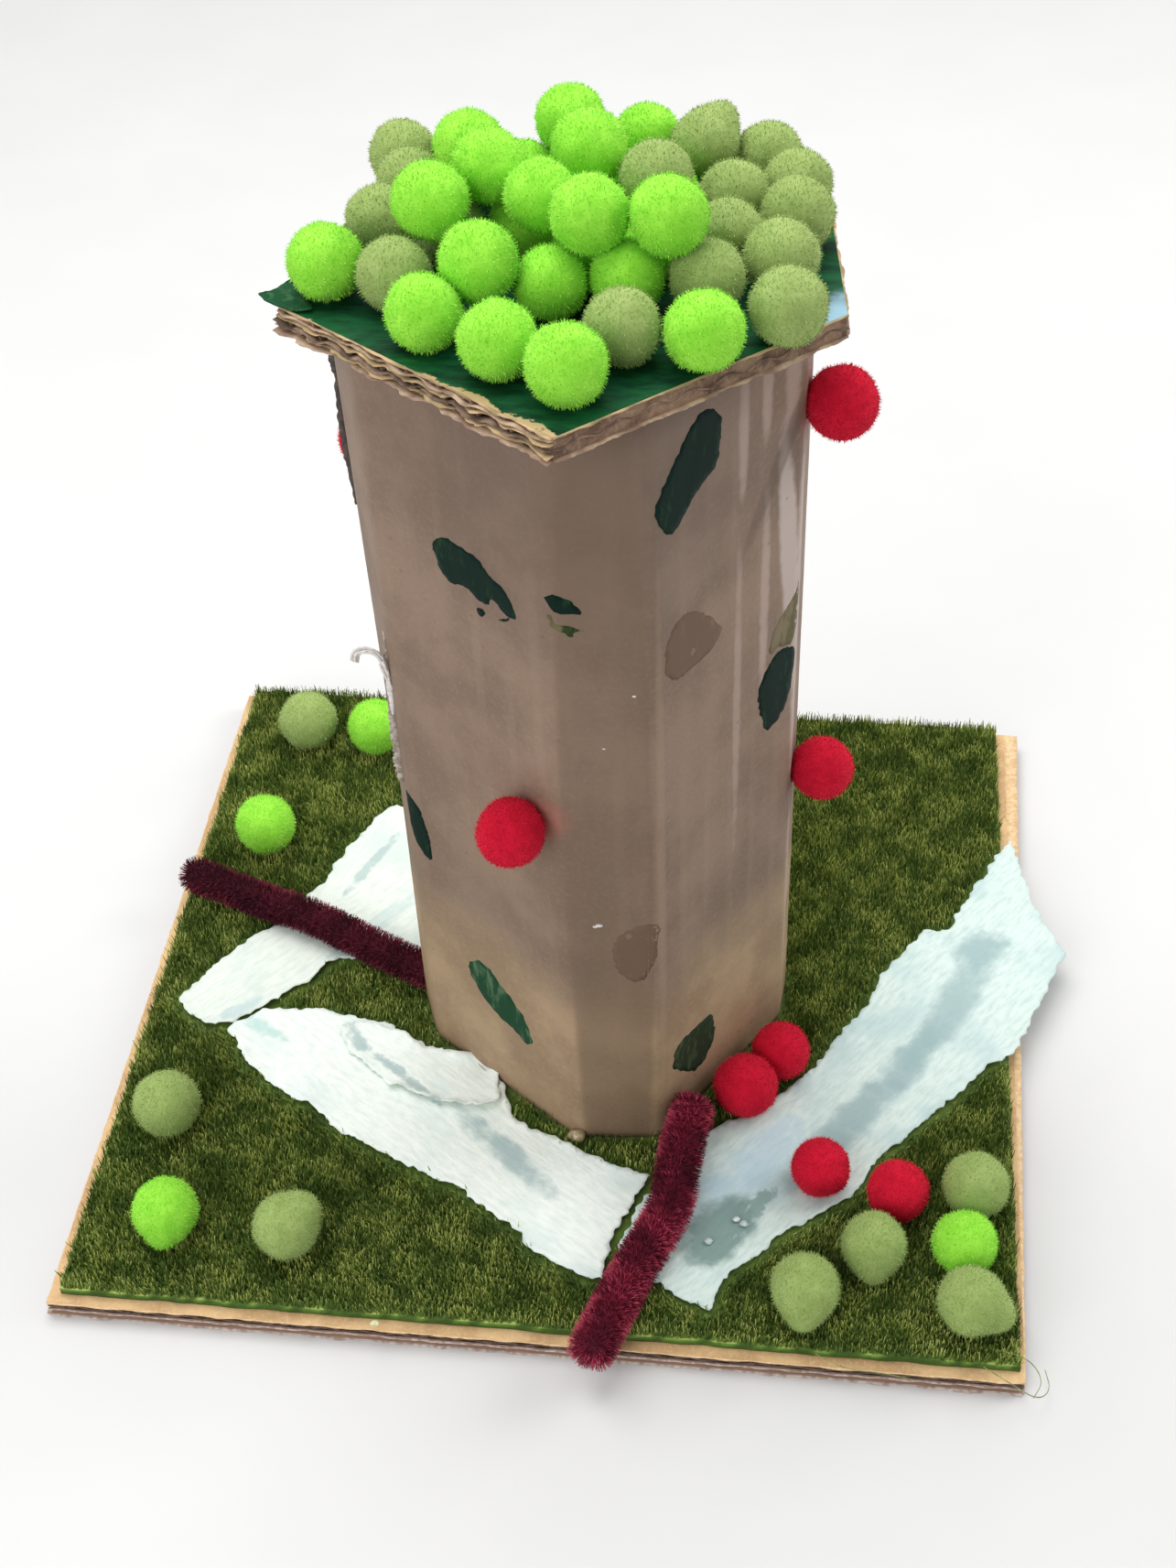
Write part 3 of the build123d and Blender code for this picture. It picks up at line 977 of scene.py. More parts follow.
def net(rows: int, columns: int, wide: int) -> list[Face]:
    """Return the quads between rows of vertices.

    Args:
        rows: Number of rows of quads.
        columns: Number of quads in a row; as many as vertices where the rows are closed.
        wide: Number of vertices in a row.

    Returns:
        The quads, row by row.
    """
    starts = [(row * wide, column) for row in range(rows) for column in range(columns)]
    pairs = [(first + column, first + (column + 1) % wide) for first, column in starts]
    return [(a, b, b + wide, a + wide) for a, b in pairs]


def turned(faces: Iterable[Face], first: int = 0) -> list[Face]:
    """Turn faces over, and count their corners from another vertex."""
    return [tuple(first + corner for corner in (face[0], *face[:0:-1])) for face in faces]


def sheet_sizes(outline: Outline) -> dict[str, object]:
    """Measure a flat sheet.

    Args:
        outline: Its outline in millimetres.
    """
    ring = np.array(outline)
    wide, deep = (ring.max(0) - ring.min(0)) * MM
    area = abs(sum(a[0] * b[1] - b[0] * a[1] for a, b in around(outline))) / 2
    return {"flat": (float(wide), float(deep)), "area": float(area) * MM * MM}


def hull(points: Iterable[Spot]) -> list[Spot]:
    """Find the convex outline of plan points.

    Args:
        points: Plan points.

    Returns:
        The corners, counter-clockwise.
    """
    ordered = sorted({(round(float(x), 4), round(float(y), 4)) for x, y in points})

    def half(row: Iterable[Spot]) -> list[Spot]:
        """Walk one side of the outline.

        Args:
            row: Points in the order of the walk.

        Returns:
            The corners of that side but the last.
        """
        kept: list[Spot] = []
        for x, y in row:
            while len(kept) > 1:
                (ax, ay), (bx, by) = kept[-2:]
                if (bx - ax) * (y - ay) - (by - ay) * (x - ax) > 1e-6:
                    break
                kept.pop()
            kept.append((x, y))
        return kept[:-1]

    return half(ordered) + half(reversed(ordered))


def plan_corners(points: Iterable[Spot], shortest: float) -> list[Vector]:
    """Read the sharp corners of a rounded convex plan.

    Args:
        points: Plan points in millimetres.
        shortest: Length from which a side of the hull is one of the plan's straight sides.

    Returns:
        Where neighbouring straight sides meet, counter-clockwise.
    """
    def direction(side: tuple[Vector, Vector]) -> Vector:
        """Return the unit vector along a side."""
        return (side[1] - side[0]).normalized()

    sides = []
    for start, end in around(hull(points)):
        side = Vector(start), Vector(end)
        if (side[1] - side[0]).length < shortest:
            continue
        if sides and abs(direction(sides[-1]).cross(direction(side))) < STRAIGHT:
            side = sides.pop()[0], side[1]
        sides.append(side)
    if abs(direction(sides[-1]).cross(direction(sides[0]))) < STRAIGHT:
        sides[0] = (sides.pop()[0], sides[0][1])
    corners = []
    for (a, b), (c, d) in zip(sides[-1:] + sides[:-1], sides):
        first, second = b - a, d - c
        share = (c - a).cross(second) / first.cross(second)
        corners.append(a + first * share)
    return corners


def fit_plane(points: np.ndarray) -> tuple[float, float, float]:
    """Return level, slope along X and slope along Y of the plane nearest to the points."""
    system = np.c_[np.ones(len(points)), points[:, 0], points[:, 1]]
    level, along_x, along_y = np.linalg.lstsq(system, points[:, 2], rcond=None)[0]
    return float(level), float(along_x), float(along_y)


def wobble(place: Vector | Spot, size: float, seed: float = 0.0) -> float:
    """Return smooth noise from about -1 to 1 at a place in millimetres."""
    x, y, *z = place
    return noise.noise(Vector((x / size + seed, y / size - seed, (z[0] if z else 0.0) / size + 2.3 * seed)))


def inside(spots: np.ndarray, outline: Outline) -> np.ndarray:
    """Find which spots an outline surrounds.

    Args:
        spots: Flat points, one in each row.
        outline: Closed outline.

    Returns:
        True for each spot that is within the outline.
    """
    x, y = spots[:, 0], spots[:, 1]
    odd = np.zeros(len(spots), bool)
    for (ax, ay), (bx, by) in around(outline):
        if ay != by:
            odd ^= ((ay > y) != (by > y)) & (x < ax + (y - ay) / (by - ay) * (bx - ax))
    return odd


def outline_gap(spots: np.ndarray, outline: Outline) -> np.ndarray:
    """Measure how far spots are from an outline.

    Args:
        spots: Flat points, one in each row.
        outline: Closed outline.

    Returns:
        The distance of each spot from the nearest side.
    """
    nearest = np.full(len(spots), np.inf)
    for a, b in around([np.array(spot) for spot in outline]):
        along = b - a
        share = np.clip((spots - a) @ along / max(along @ along, 1e-9), 0, 1)
        nearest = np.minimum(nearest, np.linalg.norm(spots - a - share[:, None] * along, axis=1))
    return nearest


def torn_outline(outline: Outline, step: float, depth: float, seed: float) -> list[Spot]:
    """Divide an outline and push its points in and out like a torn edge.

    Args:
        outline: Corners in order.
        step: Distance between the new points.
        depth: Largest push.
        seed: Place in the noise.

    Returns:
        The torn outline.
    """
    torn = []
    for start, end in around(outline):
        a, b = Vector(start), Vector(end)
        count = max(1, round((b - a).length / step))
        side = Vector((b.y - a.y, a.x - b.x)).normalized()
        for index in range(count):
            spot = a.lerp(b, index / count)
            push = wobble(spot, 7 * step, seed) * 0.75 + wobble(spot, 1.9 * step, seed + 9) * 0.8
            spot += side * push * depth
            torn.append((spot.x, spot.y))
    return torn


def fill_outline(outline: Outline, spacing: float) -> tuple[list[Spot], list[Face]]:
    """Fill an outline with even triangles.

    Args:
        outline: Points round the edge.
        spacing: Distance between the points inside.

    Returns:
        All points, and the triangles counter-clockwise.
    """
    ring = np.array(outline)
    low, high = ring.min(0), ring.max(0)
    rows = np.arange(low[1], high[1], spacing * math.sqrt(3) / 2)
    columns = np.arange(low[0], high[0], spacing)
    starts = enumerate(rows)
    grid = np.array([(x + (row % 2) * spacing / 2, y) for row, y in starts for x in columns])
    grid = grid[inside(grid, outline)]
    grid = grid[outline_gap(grid, outline) > spacing * 0.55]
    edges = list(around(range(len(outline))))
    spots = [Vector(spot) for spot in [*outline, *grid]]
    made = delaunay_2d_cdt(spots, edges, [], 1, 1e-5)
    points = [(v.x, v.y) for v in made[0]]
    triangles = []
    for face in made[2]:
        a, b, c = (Vector(points[index]) for index in face)
        triangles.append(tuple(face) if (b - a).cross(c - a) > 0 else tuple(reversed(face)))
    return points, triangles


def rim_of(triangles: Sequence[Face]) -> list[tuple[int, int]]:
    """Return the directed edges that only one triangle has."""
    seen = {pair for face in triangles for pair in around(face)}
    return [(a, b) for a, b in seen if (b, a) not in seen]


def closed_film(
    piece: Piece, spots: Outline, triangles: Sequence[Face],
    upper: Callable[[Spot], Vector], lower: Callable[[Spot], Vector], finish: int = 0, **values: list,
) -> None:
    """Add a thin closed body between two surfaces over the same spots.

    Args:
        piece: Piece that takes the body.
        spots: Flat points.
        triangles: Faces over the spots, counter-clockwise seen from outside.
        upper: Place of a spot on the outer side.
        lower: Place of a spot on the inner side.
        finish: Number of the material.
        **values: Attributes of the spots.
    """
    count = len(spots)
    places = [upper(spot) for spot in spots] + [lower(spot) for spot in spots]
    faces = list(triangles) + [tuple(count + index for index in reversed(face)) for face in triangles]
    faces += [(b, a, count + a, count + b) for a, b in sorted(rim_of(triangles))]
    piece.join(places, faces, finish, **{name: numbers * 2 for name, numbers in values.items()})


@dataclass(frozen=True)
class PileSettings:
    """Sizes of the fibres that grow from a surface, in millimetres and radians."""

    density: float
    length: float
    width: float
    shortest: float = 0.6
    lean: float = 0.6
    lean_spread: float = 0.4
    clump: float = 0.0
    clump_size: float = 6.0
    curl: float = 0.3
    sections: int = 2
    taper: float = 0.6
    keep_surface: bool = True

    def inputs(self) -> dict[str, float]:
        """Convert the sizes for the tree.

        Returns:
            The tree's inputs by name, in metres.
        """
        units = {"density": PER_MM2, "length": MM, "width": MM, "clump_size": MM}
        values = {item.name: getattr(self, item.name) for item in fields(self)}
        values.update({name: values[name] * unit for name, unit in units.items()})
        return {socket_name(name): value for name, value in values.items()}


def socket_name(name: str) -> str:
    """Turn the name of a field into the label of its socket."""
    return name.replace("_", " ").title()


class PileTree:
    """Geometry Nodes tree that sets leaning, curled fibres on a surface."""

    def __init__(self) -> None:
        """Build the tree with its named inputs."""
        self.tree = bpy.data.node_groups.new("pile", "GeometryNodeTree")
        sockets, links = self.tree.interface, self.tree.links
        kinds = {float: "Float", int: "Int", bool: "Bool"}
        inputs = {socket_name(item.name): kinds[item.type] for item in fields(PileSettings)}
        inputs = {"Geometry": "Geometry", **inputs, "Seed": "Int", "Material": "Material"}
        for name, kind in inputs.items():
            sockets.new_socket(name=name, in_out="INPUT", socket_type=f"NodeSocket{kind}")
        sockets.new_socket(name="Geometry", in_out="OUTPUT", socket_type="NodeSocketGeometry")
        self.names = {s.name: s.identifier for s in sockets.items_tree if s.in_out == "INPUT"}
        start = self.tree.nodes.new("NodeGroupInput")
        self.given = {socket.name: socket for socket in start.outputs if socket.name}
        end = self.tree.nodes.new("NodeGroupOutput")
        self.graph = Graph(self.tree)
        points = self._points()
        tall = self._random(self.given["Shortest"], 1.0, 3.0)
        inputs = {
            "Points": self._store(points.outputs["Points"], "tint", self._random(0.0, 1.0, 5.0)),
            "Instance": self._blade(), "Rotation": self._turn(points),
            "Scale": self.graph.combine(1.0, tall, tall),
        }
        fibres = self.graph.add("GeometryNodeInstanceOnPoints", inputs).outputs[0]
        surface = self.graph.add("GeometryNodeSwitch", input_type="GEOMETRY")
        self.graph.feed(surface.inputs[0], self.given["Keep Surface"])
        self.graph.feed(surface.inputs[2], self.given["Geometry"])
        joined = self.graph.add("GeometryNodeJoinGeometry")
        links.new(fibres, joined.inputs[0])
        links.new(surface.outputs[0], joined.inputs[0])
        real = self.graph.add("GeometryNodeRealizeInstances", {0: joined.outputs[0]}).outputs[0]
        inputs = {"Geometry": real, "Material": self.given["Material"]}
        links.new(self.graph.add("GeometryNodeSetMaterial", inputs).outputs[0], end.inputs[0])

    def _store(self, geometry: Socket, name: str, value: Socket) -> Socket:
        """Store a number on the points of a geometry, and return the geometry."""
        inputs = {"Geometry": geometry, "Name": name, "Value": value}
        kind = {"data_type": "FLOAT", "domain": "POINT"}
        return self.graph.add("GeometryNodeStoreNamedAttribute", inputs, **kind).outputs[0]

    def _random(self, low: Value, high: Value, draw: float) -> Socket:
        """Return a random number for each point, different from draw to draw."""
        inputs = {2: low, 3: high, "Seed": self.graph.plus(self.given["Seed"], draw)}
        return self.graph.add("FunctionNodeRandomValue", inputs, data_type="FLOAT").outputs[1]

    def _blade(self) -> Socket:
        """Make one flat fibre that stands on the origin, tapered and curled.

        Returns:
            The fibre's geometry.
        """
        graph, given = self.graph, self.given
        size = {"Size X": given["Width"], "Size Y": given["Length"]}
        rows = graph.plus(given["Sections"], 1.0)
        grid = graph.add("GeometryNodeMeshGrid", {**size, "Vertices X": 2, "Vertices Y": rows}).outputs[0]
        across, along, _ = graph.separate(graph.add("GeometryNodeInputPosition").outputs[0])
        rise = graph.math("ADD", graph.over(along, given["Length"]), 0.5, clamp=True)
        grid = self._store(grid, "rise", rise)
        narrow = graph.minus(1.0, graph.times(rise, given["Taper"]))
        forward = graph.times(graph.times(rise, rise), given["Curl"])
        place = graph.combine(
            graph.times(across, narrow), graph.times(forward, given["Length"]),
            graph.times(rise, given["Length"]),
        )
        return graph.add("GeometryNodeSetPosition", {"Geometry": grid, "Position": place}).outputs[0]

    def _points(self) -> Node:
        """Spread the fibres' roots over the surface where it is open.

        Returns:
            The node with the points and the surface's rotations.
        """
        inputs = {"Name": "open"}
        free = self.graph.add("GeometryNodeInputNamedAttribute", inputs, data_type="FLOAT").outputs[0]
        density = self.graph.times(self.given["Density"], free)
        inputs = {"Mesh": self.given["Geometry"], "Density": density, "Seed": self.given["Seed"]}
        return self.graph.add("GeometryNodeDistributePointsOnFaces", inputs, distribute_method="RANDOM")

    def _turn(self, points: Node) -> Socket:
        """Lean each fibre on the surface and spin it about the surface's normal.

        Args:
            points: Node with the points and the surface's rotations.

        Returns:
            The rotation of each fibre.
        """
        graph, given = self.graph, self.given
        place = graph.add("GeometryNodeInputPosition").outputs[0]
        clumps = graph.times(graph.noise(place, graph.over(1.0, given["Clump Size"]), 2.0), 6 * math.pi)
        spin = graph.between(given["Clump"], self._random(0.0, 2 * math.pi, 1.0), clumps)
        spread = graph.times(self._random(-1.0, 1.0, 2.0), given["Lean Spread"])
        angles = graph.combine(graph.plus(given["Lean"], spread), 0.0, spin)
        turn = graph.add("FunctionNodeEulerToRotation", {0: angles}).outputs[0]
        inputs = {0: points.outputs["Rotation"], 1: turn}
        return graph.add("FunctionNodeRotateRotation", inputs, rotation_space="LOCAL").outputs[0]

    def grow(self, base: Object, settings: PileSettings, material: Material, seed: int) -> Object:
        """Grow the fibres on an object and keep the result as its plain mesh.

        Args:
            base: Object whose surface carries the fibres.
            settings: Sizes of the fibres.
            material: Material of surface and fibres.
            seed: Fixed seed.

        Returns:
            The same object.
        """
        modifier = base.modifiers.new("pile", "NODES")
        modifier.node_group = self.tree
        for name, value in {**settings.inputs(), "Seed": seed, "Material": material}.items():
            modifier[self.names[name]] = value
        scene_graph = bpy.context.evaluated_depsgraph_get()
        grown = bpy.data.meshes.new_from_object(
            base.evaluated_get(scene_graph), preserve_all_data_layers=True, depsgraph=scene_graph
        )
        base.modifiers.clear()
        old = base.data
        base.data = grown
        bpy.data.meshes.remove(old)
        grown.name = base.name
        return base


PILE = PileTree()


@dataclass(frozen=True)
class Panel:
    """One straight side of the tower's plan."""

    start: Vector
    along: Vector
    normal: Vector
    length: float
    first: float


@dataclass
class TowerShape:
    """Outer face of the tower, read from the frame: its sides, its rounded folds and its sloping top."""

    fold_radius: float = 6.0
    foot: float = 0.0
    panels: list[Panel] = field(default_factory=list)
    setbacks: list[float] = field(default_factory=list)
    around: float = 0.0
    top: tuple[float, float, float] = (0.0, 0.0, 0.0)
    foot_slice: float = 0.1
    rim_slice: float = 8.0
    shortest_side: float = 4.0

    @classmethod
    def from_frame(cls) -> "TowerShape":
        """Read the sides from the wall's foot and the slope from its upper rim.

        Returns:
            The shape.
        """
        points = node_points("tower_wall")
        levels = points[:, 2]
        foot = levels.min()
        corners = plan_corners(points[levels < foot + cls.foot_slice][:, :2], cls.shortest_side)
        left = min(range(len(corners)), key=lambda index: corners[index].x)
        corners = corners[left:] + corners[:left]
        shape = cls(foot=float(foot), top=fit_plane(points[levels > levels.max() - cls.rim_slice]))
        for a, b in around(corners):
            along = (b - a).normalized()
            shape.panels.append(Panel(a, along, Vector((along.y, -along.x)), (b - a).length, shape.around))
            shape.around += (b - a).length
        for before, after in zip(shape.panels[-1:] + shape.panels[:-1], shape.panels):
            turn = before.along.angle(after.along)
            shape.setbacks.append(shape.fold_radius * math.tan(turn / 2))
        return shape

    def top_at(self, spot: Vector) -> float:
        """Return the level of the roof's underside over a plan point."""
        level, along_x, along_y = self.top
        return level + along_x * spot.x + along_y * spot.y

    def plan(self, along: float) -> tuple[Vector, Vector]:
        """Find a place round the tower.

        Args:
            along: Distance round the tower in millimetres.

        Returns:
            The plan point and the outward normal.
        """
        along %= self.around
        index = max(i for i, panel in enumerate(self.panels) if panel.first <= along + 1e-9)
        panel = self.panels[index]
        after = (index + 1) % len(self.panels)
        reach = along - panel.first
        if reach < self.setbacks[index]:
            return self._fold(index, 0.5 + 0.5 * reach / self.setbacks[index])
        if panel.length - reach < self.setbacks[after]:
            return self._fold(after, 0.5 - 0.5 * (panel.length - reach) / self.setbacks[after])
        return panel.start + panel.along * reach, panel.normal.copy()

    def _fold(self, index: int, share: float) -> tuple[Vector, Vector]:
        """Find a place on the rounded fold at the start of a panel.

        Args:
            index: Number of the panel.
            share: Share of the arc.

        Returns:
            The plan point and the outward normal.
        """
        panel = self.panels[index]
        before = self.panels[index - 1]
        centre = panel.start + panel.along * self.setbacks[index] - panel.normal * self.fold_radius
        turn = before.normal.angle(panel.normal)
        angle = math.atan2(panel.normal.y, panel.normal.x) - turn * (1 - share)
        normal = Vector((math.cos(angle), math.sin(angle)))
        return centre + normal * self.fold_radius, normal

    def steps(self, spacing: float) -> list[float]:
        """Choose where the face gets a column of points.

        Args:
            spacing: Distance between the columns on the straight sides.

        Returns:
            Distances round the tower.
        """
        found = []
        for index, panel in enumerate(self.panels):
            near = self.setbacks[index]
            far = panel.length - self.setbacks[(index + 1) % len(self.panels)]
            found += [panel.first + near * share for share in (0.0, 0.33, 0.67)]
            count = max(1, round((far - near) / spacing))
            found += [panel.first + near + (far - near) * i / count for i in range(count + 1)]
            rest = panel.length - far
            found += [panel.first + far + rest * share for share in (0.33, 0.67)]
        return found


@dataclass
class TowerFace:
    """Outer liner of the tower with the flutes showing through, its paint daubs, torn plies and glue."""

    shape: TowerShape
    lift: float = 0.2
    liner: float = 0.12
    flute_pitch: float = 7.6
    flute_relief: float = 0.05
    dent: float = 0.12
    spacing: float = 1.9
    rise: float = 2.8
    hem: float = 1.2
    bulge: float = 2.4
    bulge_from: float = 75.0
    bulge_full: float = 200.0
    bulge_reach: float = 13.0
    dent_size: float = 16.0
    grain: float = 0.03
    grain_size: float = 3.0
    flute_fade: float = 30.0
    clearance: float = 0.02

    def relief(self, along: float, up: float) -> float:
        """Find how far the outer face stands off the board.

        Args:
            along: Distance round the tower in millimetres.
            up: Level over the base board's underside in millimetres.

        Returns:
            The distance in millimetres.
        """
        flute = self.flute_relief * math.cos(2 * math.pi * along / self.flute_pitch)
        flute *= 0.6 + 0.4 * wobble((along, up), self.flute_fade)
        dents = self.dent * wobble((along, up * 0.5), self.dent_size, 3.1) * 0.6
        grain = self.grain * wobble((along, up), self.grain_size, 8.7)
        face = max(self.liner + self.clearance, self.lift + flute + dents + grain)
        from_seam = min(along % self.shape.around, -along % self.shape.around)
        rise = max(0.0, up - self.bulge_from) / (self.bulge_full - self.bulge_from)
        return face + self.bulge * rise * math.exp(-((from_seam / self.bulge_reach) ** 2))

    def point(self, along: float, up: float, stand_off: float = 0.0) -> Vector:
        """Return a place on the outer face in metres.

        Args:
            along: Distance round the tower in millimetres.
            up: Level over the base board's underside in millimetres.
            stand_off: Further distance outwards in millimetres.

        Returns:
            The place.
        """
        spot, normal = self.shape.plan(along)
        out = spot + normal * (self.relief(along, up) + stand_off)
        return Vector((out.x, out.y, up)) * MM

    def build(self) -> Object:
        """Make the liner as a closed thin tube.

        Returns:
            The liner.
        """
        steps = self.shape.steps(self.spacing)
        low = self.shape.foot - self.hem
        rows = round((self.shape.top_at(self.shape.plan(0.0)[0]) - low) / self.rise)
        piece = Piece()
        outer, inner, along_values, up_values = [], [], [], []
        for row in range(rows + 1):
            for along in steps:
                high = self.shape.top_at(self.shape.plan(along)[0])
                up = low + (high - low) * row / rows
                outer.append(self.point(along, up))
                inner.append(self.point(along, up, -self.liner))
                along_values.append(along)
                up_values.append(up)
        wide = len(steps)
        total = len(outer)
        faces = net(rows, wide, wide)
        faces += turned(faces, total)
        for a, b in around(range(wide)):
            faces.append((b, a, total + a, total + b))
            a, b = a + rows * wide, b + rows * wide
            faces.append((a, b, total + b, total + a))
        piece.join(outer + inner, faces, along=along_values * 2, up=up_values * 2)
        finish = WallFinish("wall_kraft", self.patches(), self.flute_pitch)
        return finish_piece(piece, "tower_liner", Slot.KRAFT, finish)

    def patches(self) -> list[WallPatch]:
        """List the soft patches: painted highlights as light bands on the flutes and pale lit areas at the right
        edges, painted shade under the roof with its diagonal painted shadow, painted shade on the darker middle panel,
        and painted red reflections of the red pompoms.

        Returns:
            The patches.
        """
        # Painted light: the light band and pale tones are painted highlights, the shade tone is painted shadow.
        highlight_band, pale, shade = rgb(186, 164, 152), rgb(200, 184, 176), rgb(98, 78, 64)
        upright = math.pi / 2
        rows = (
            # Painted highlights: light stripes caught by the flutes and pale lit areas at the right side's edges.
            (3, 25.6, 182.0, upright, 18.0, 1.9, highlight_band, 0.75, 0.25, 0.9),
            (3, 25.0, 120.0, upright, 46.0, 1.5, highlight_band, 0.45, 0.3, 0.9),
            (3, 32.4, 186.0, upright, 12.0, 2.0, highlight_band, 0.6, 0.25, 0.9),
            (3, 33.2, 140.0, upright, 34.0, 1.8, highlight_band, 0.6, 0.3, 0.9),
            (3, 40.6, 148.0, upright + 0.1, 34.0, 3.4, pale, 0.75, 0.2, 0.7),
            (4, 2.0, 130.0, upright, 60.0, 3.4, pale, 0.6, 0.2, 0.9),
            (4, 2.6, 50.0, upright, 40.0, 3.0, highlight_band, 0.5, 0.3, 0.9),
            (3, 40.0, 186.0, upright, 14.0, 3.0, highlight_band, 0.5, 0.2, 0.9),
            # Painted shadow: the roof's diagonal shadow edge on the right side.
            (3, 38.0, 171.0, 0.95, 26.0, 3.0, shade, 0.55, 0.15, 0.8),
            # Painted shade under the roof over the upper wall, and just below its edge.
            (2, 4.0, 200.0, 0.0, 62.0, 66.0, rgb(104, 85, 72), 0.62, 0.15, 1.0, 20.0),
            (3, 12.0, 199.0, 0.05, 30.0, 7.0, shade, 0.35, 0.1, 1.0),
            # Painted reflections: red light from the red pompoms on the wall.
            (4, 4.0, 176.0, upright, 10.0, 6.0, rgb(190, 110, 105), 0.5, 0.1, 1.0),
            (1, 40.5, 105.0, 0.6, 9.0, 6.0, rgb(190, 105, 95), 0.4, 0.1, 1.0),
            # Painted shade: the middle panel darker where less light falls on it.
            (2, 9.4, 96.0, upright, 150.0, 9.6, rgb(112, 92, 74), 0.42, 0.04, 0.3, 18.0),
            (2, 9.4, 30.0, upright, 60.0, 9.0, rgb(118, 96, 74), 0.3, 0.1, 0.5, 18.0),
            # Painted highlight: a light strip on the fold at the start of the right side.
            (3, 1.5, 90.0, upright, 90.0, 1.6, rgb(170, 144, 122), 0.35, 0.2, 1.0),
        )
        return [WallPatch(self.shape.panels[index].first + reach, *rest) for index, reach, *rest in rows]


@dataclass(frozen=True)
class Daub:
    """A thin mark on the wall: its panel and its outline along and up the panel in millimetres."""

    name: str
    panel: int
    outline: Outline


@dataclass
class WallMarks:
    """Paint daubs and stains on the tower's outer face."""

    face: TowerFace
    film: float = 0.05
    step: float = 0.6
    roughness: float = 0.62
    spacing: float = 1.1

    wet: Sequence[Daub] = (
        Daub("upper_left", 1, (
            (15.2, 158.8), (17.2, 161.3), (19.7, 162.6), (22.9, 162.6), (26.8, 162.3), (29.3, 160.9),
            (30.7, 159.4), (33.3, 158.9), (35.4, 157.1), (36.8, 152.9), (34.6, 151.8), (32.5, 153.5),
            (30.8, 154.4), (29.5, 152.2), (26.8, 152.3), (23.3, 153.7), (20.6, 152.6), (18.0, 153.6),
            (16.7, 156.5),
        )),
        Daub("upper_left_bit", 1, ((26.4, 150.0), (28.3, 150.9), (28.9, 149.5), (27.1, 148.2))),
        Daub("upper_left_tail", 1, (
            (31.6, 150.4), (33.6, 151.3), (35.0, 152.5), (34.6, 151.4), (33.0, 150.1),
        )),
        Daub("print", 2, (
            (-0.8, 161.7), (0.8, 162.4), (3.4, 161.7), (5.6, 159.6), (6.5, 157.9), (4.9, 157.6), (2.0, 158.3),
            (0.2, 160.0),
        )),
        Daub("long_leaf", 3, (
            (11.9, 192.6), (14.6, 193.0), (17.3, 191.4), (19.3, 187.6), (17.8, 179.2), (14.7, 178.2),
            (10.6, 175.6), (5.8, 171.9), (3.5, 172.7), (2.1, 175.0), (0.9, 179.3), (2.9, 183.7), (7.3, 188.3),
        )),
        Daub("right_leaf", 3, (
            (40.2, 123.0), (43.1, 121.0), (44.4, 116.9), (42.9, 110.2), (40.3, 104.8), (34.5, 104.4),
            (33.0, 110.6), (31.8, 116.7), (33.9, 120.3), (37.0, 123.0),
        )),
        Daub("left_edge_leaf", 1, (
            (-1.8, 85.9), (1.0, 86.1), (3.8, 82.0), (5.4, 74.9), (5.3, 68.7), (2.4, 70.0), (-0.4, 75.2),
            (-2.2, 80.8),
        )),
    )
    fresh: Sequence[Daub] = (
        Daub("lower_left_leaf", 1, (
            (13.3, 42.4), (16.4, 46.4), (20.8, 45.8), (24.8, 41.9), (29.2, 38.2), (31.6, 34.4), (32.6, 30.0),
            (29.8, 28.6), (26.4, 30.2), (22.0, 31.6), (17.6, 34.2), (14.4, 38.4),
        )),
    )
    dull: Sequence[Daub] = (
        Daub("foot_leaf", 3, (
            (18.4, 32.8), (19.5, 24.5), (14.2, 17.1), (4.1, 25.7), (5.1, 32.3), (8.0, 33.9), (14.2, 33.3),
        )),
    )
    dry: Sequence[Daub] = (
        Daub("print_smear", 2, (
            (0.0, 157.4), (0.8, 157.4), (1.2, 155.8), (2.7, 155.6), (6.8, 154.5), (6.8, 153.6), (4.7, 153.8),
            (4.7, 152.3), (2.5, 154.1), (0.5, 155.0),
        )),
    )
    faded: Sequence[Daub] = (
        Daub("faded_leaf", 3, (
            (45.9, 135.9), (46.6, 131.8), (44.9, 126.8), (43.1, 121.7), (38.5, 124.4), (35.3, 123.8),
            (35.9, 129.6), (39.8, 132.0), (43.6, 135.0),
        )),
    )
    stains: Sequence[Daub] = (
        Daub("stain_right", 3, (
            (10.6, 151.6), (14.9, 147.9), (19.4, 143.0), (20.0, 140.8), (17.2, 137.9), (12.1, 137.8),
            (7.0, 137.4), (4.8, 138.9), (3.1, 142.8), (2.8, 147.1), (5.6, 150.9), (7.8, 152.3),
        )),
        Daub("stain_middle", 2, (
            (9.3, 70.1), (11.7, 75.6), (16.3, 77.0), (19.4, 76.4), (19.0, 68.6), (16.6, 60.2), (13.2, 59.6),
            (10.5, 63.1),
        )),
    )

    def add(self, piece: Piece, daub: Daub, film: float, number: int) -> None:
        """Lay one mark on the wall as a thin closed film.

        Args:
            piece: Piece that takes the mark.
            daub: The mark.
            film: Thickness in millimetres.
            number: Place in the noise.
        """
        outline = torn_outline(self.rounded(daub.outline), self.step, self.roughness, 3.7 * number)
        spots, triangles = fill_outline(outline, self.spacing)
        first = self.face.shape.panels[daub.panel].first

        def outer(spot: Spot) -> Vector:
            """Place on the film's outer side."""
            thick = film * (1 + 0.5 * wobble(spot, 2.0, number * 1.9))
            return self.face.point(first + spot[0], spot[1], thick)

        def inner(spot: Spot) -> Vector:
            """Place on the film's inner side."""
            return self.face.point(first + spot[0], spot[1], -self.face.clearance)

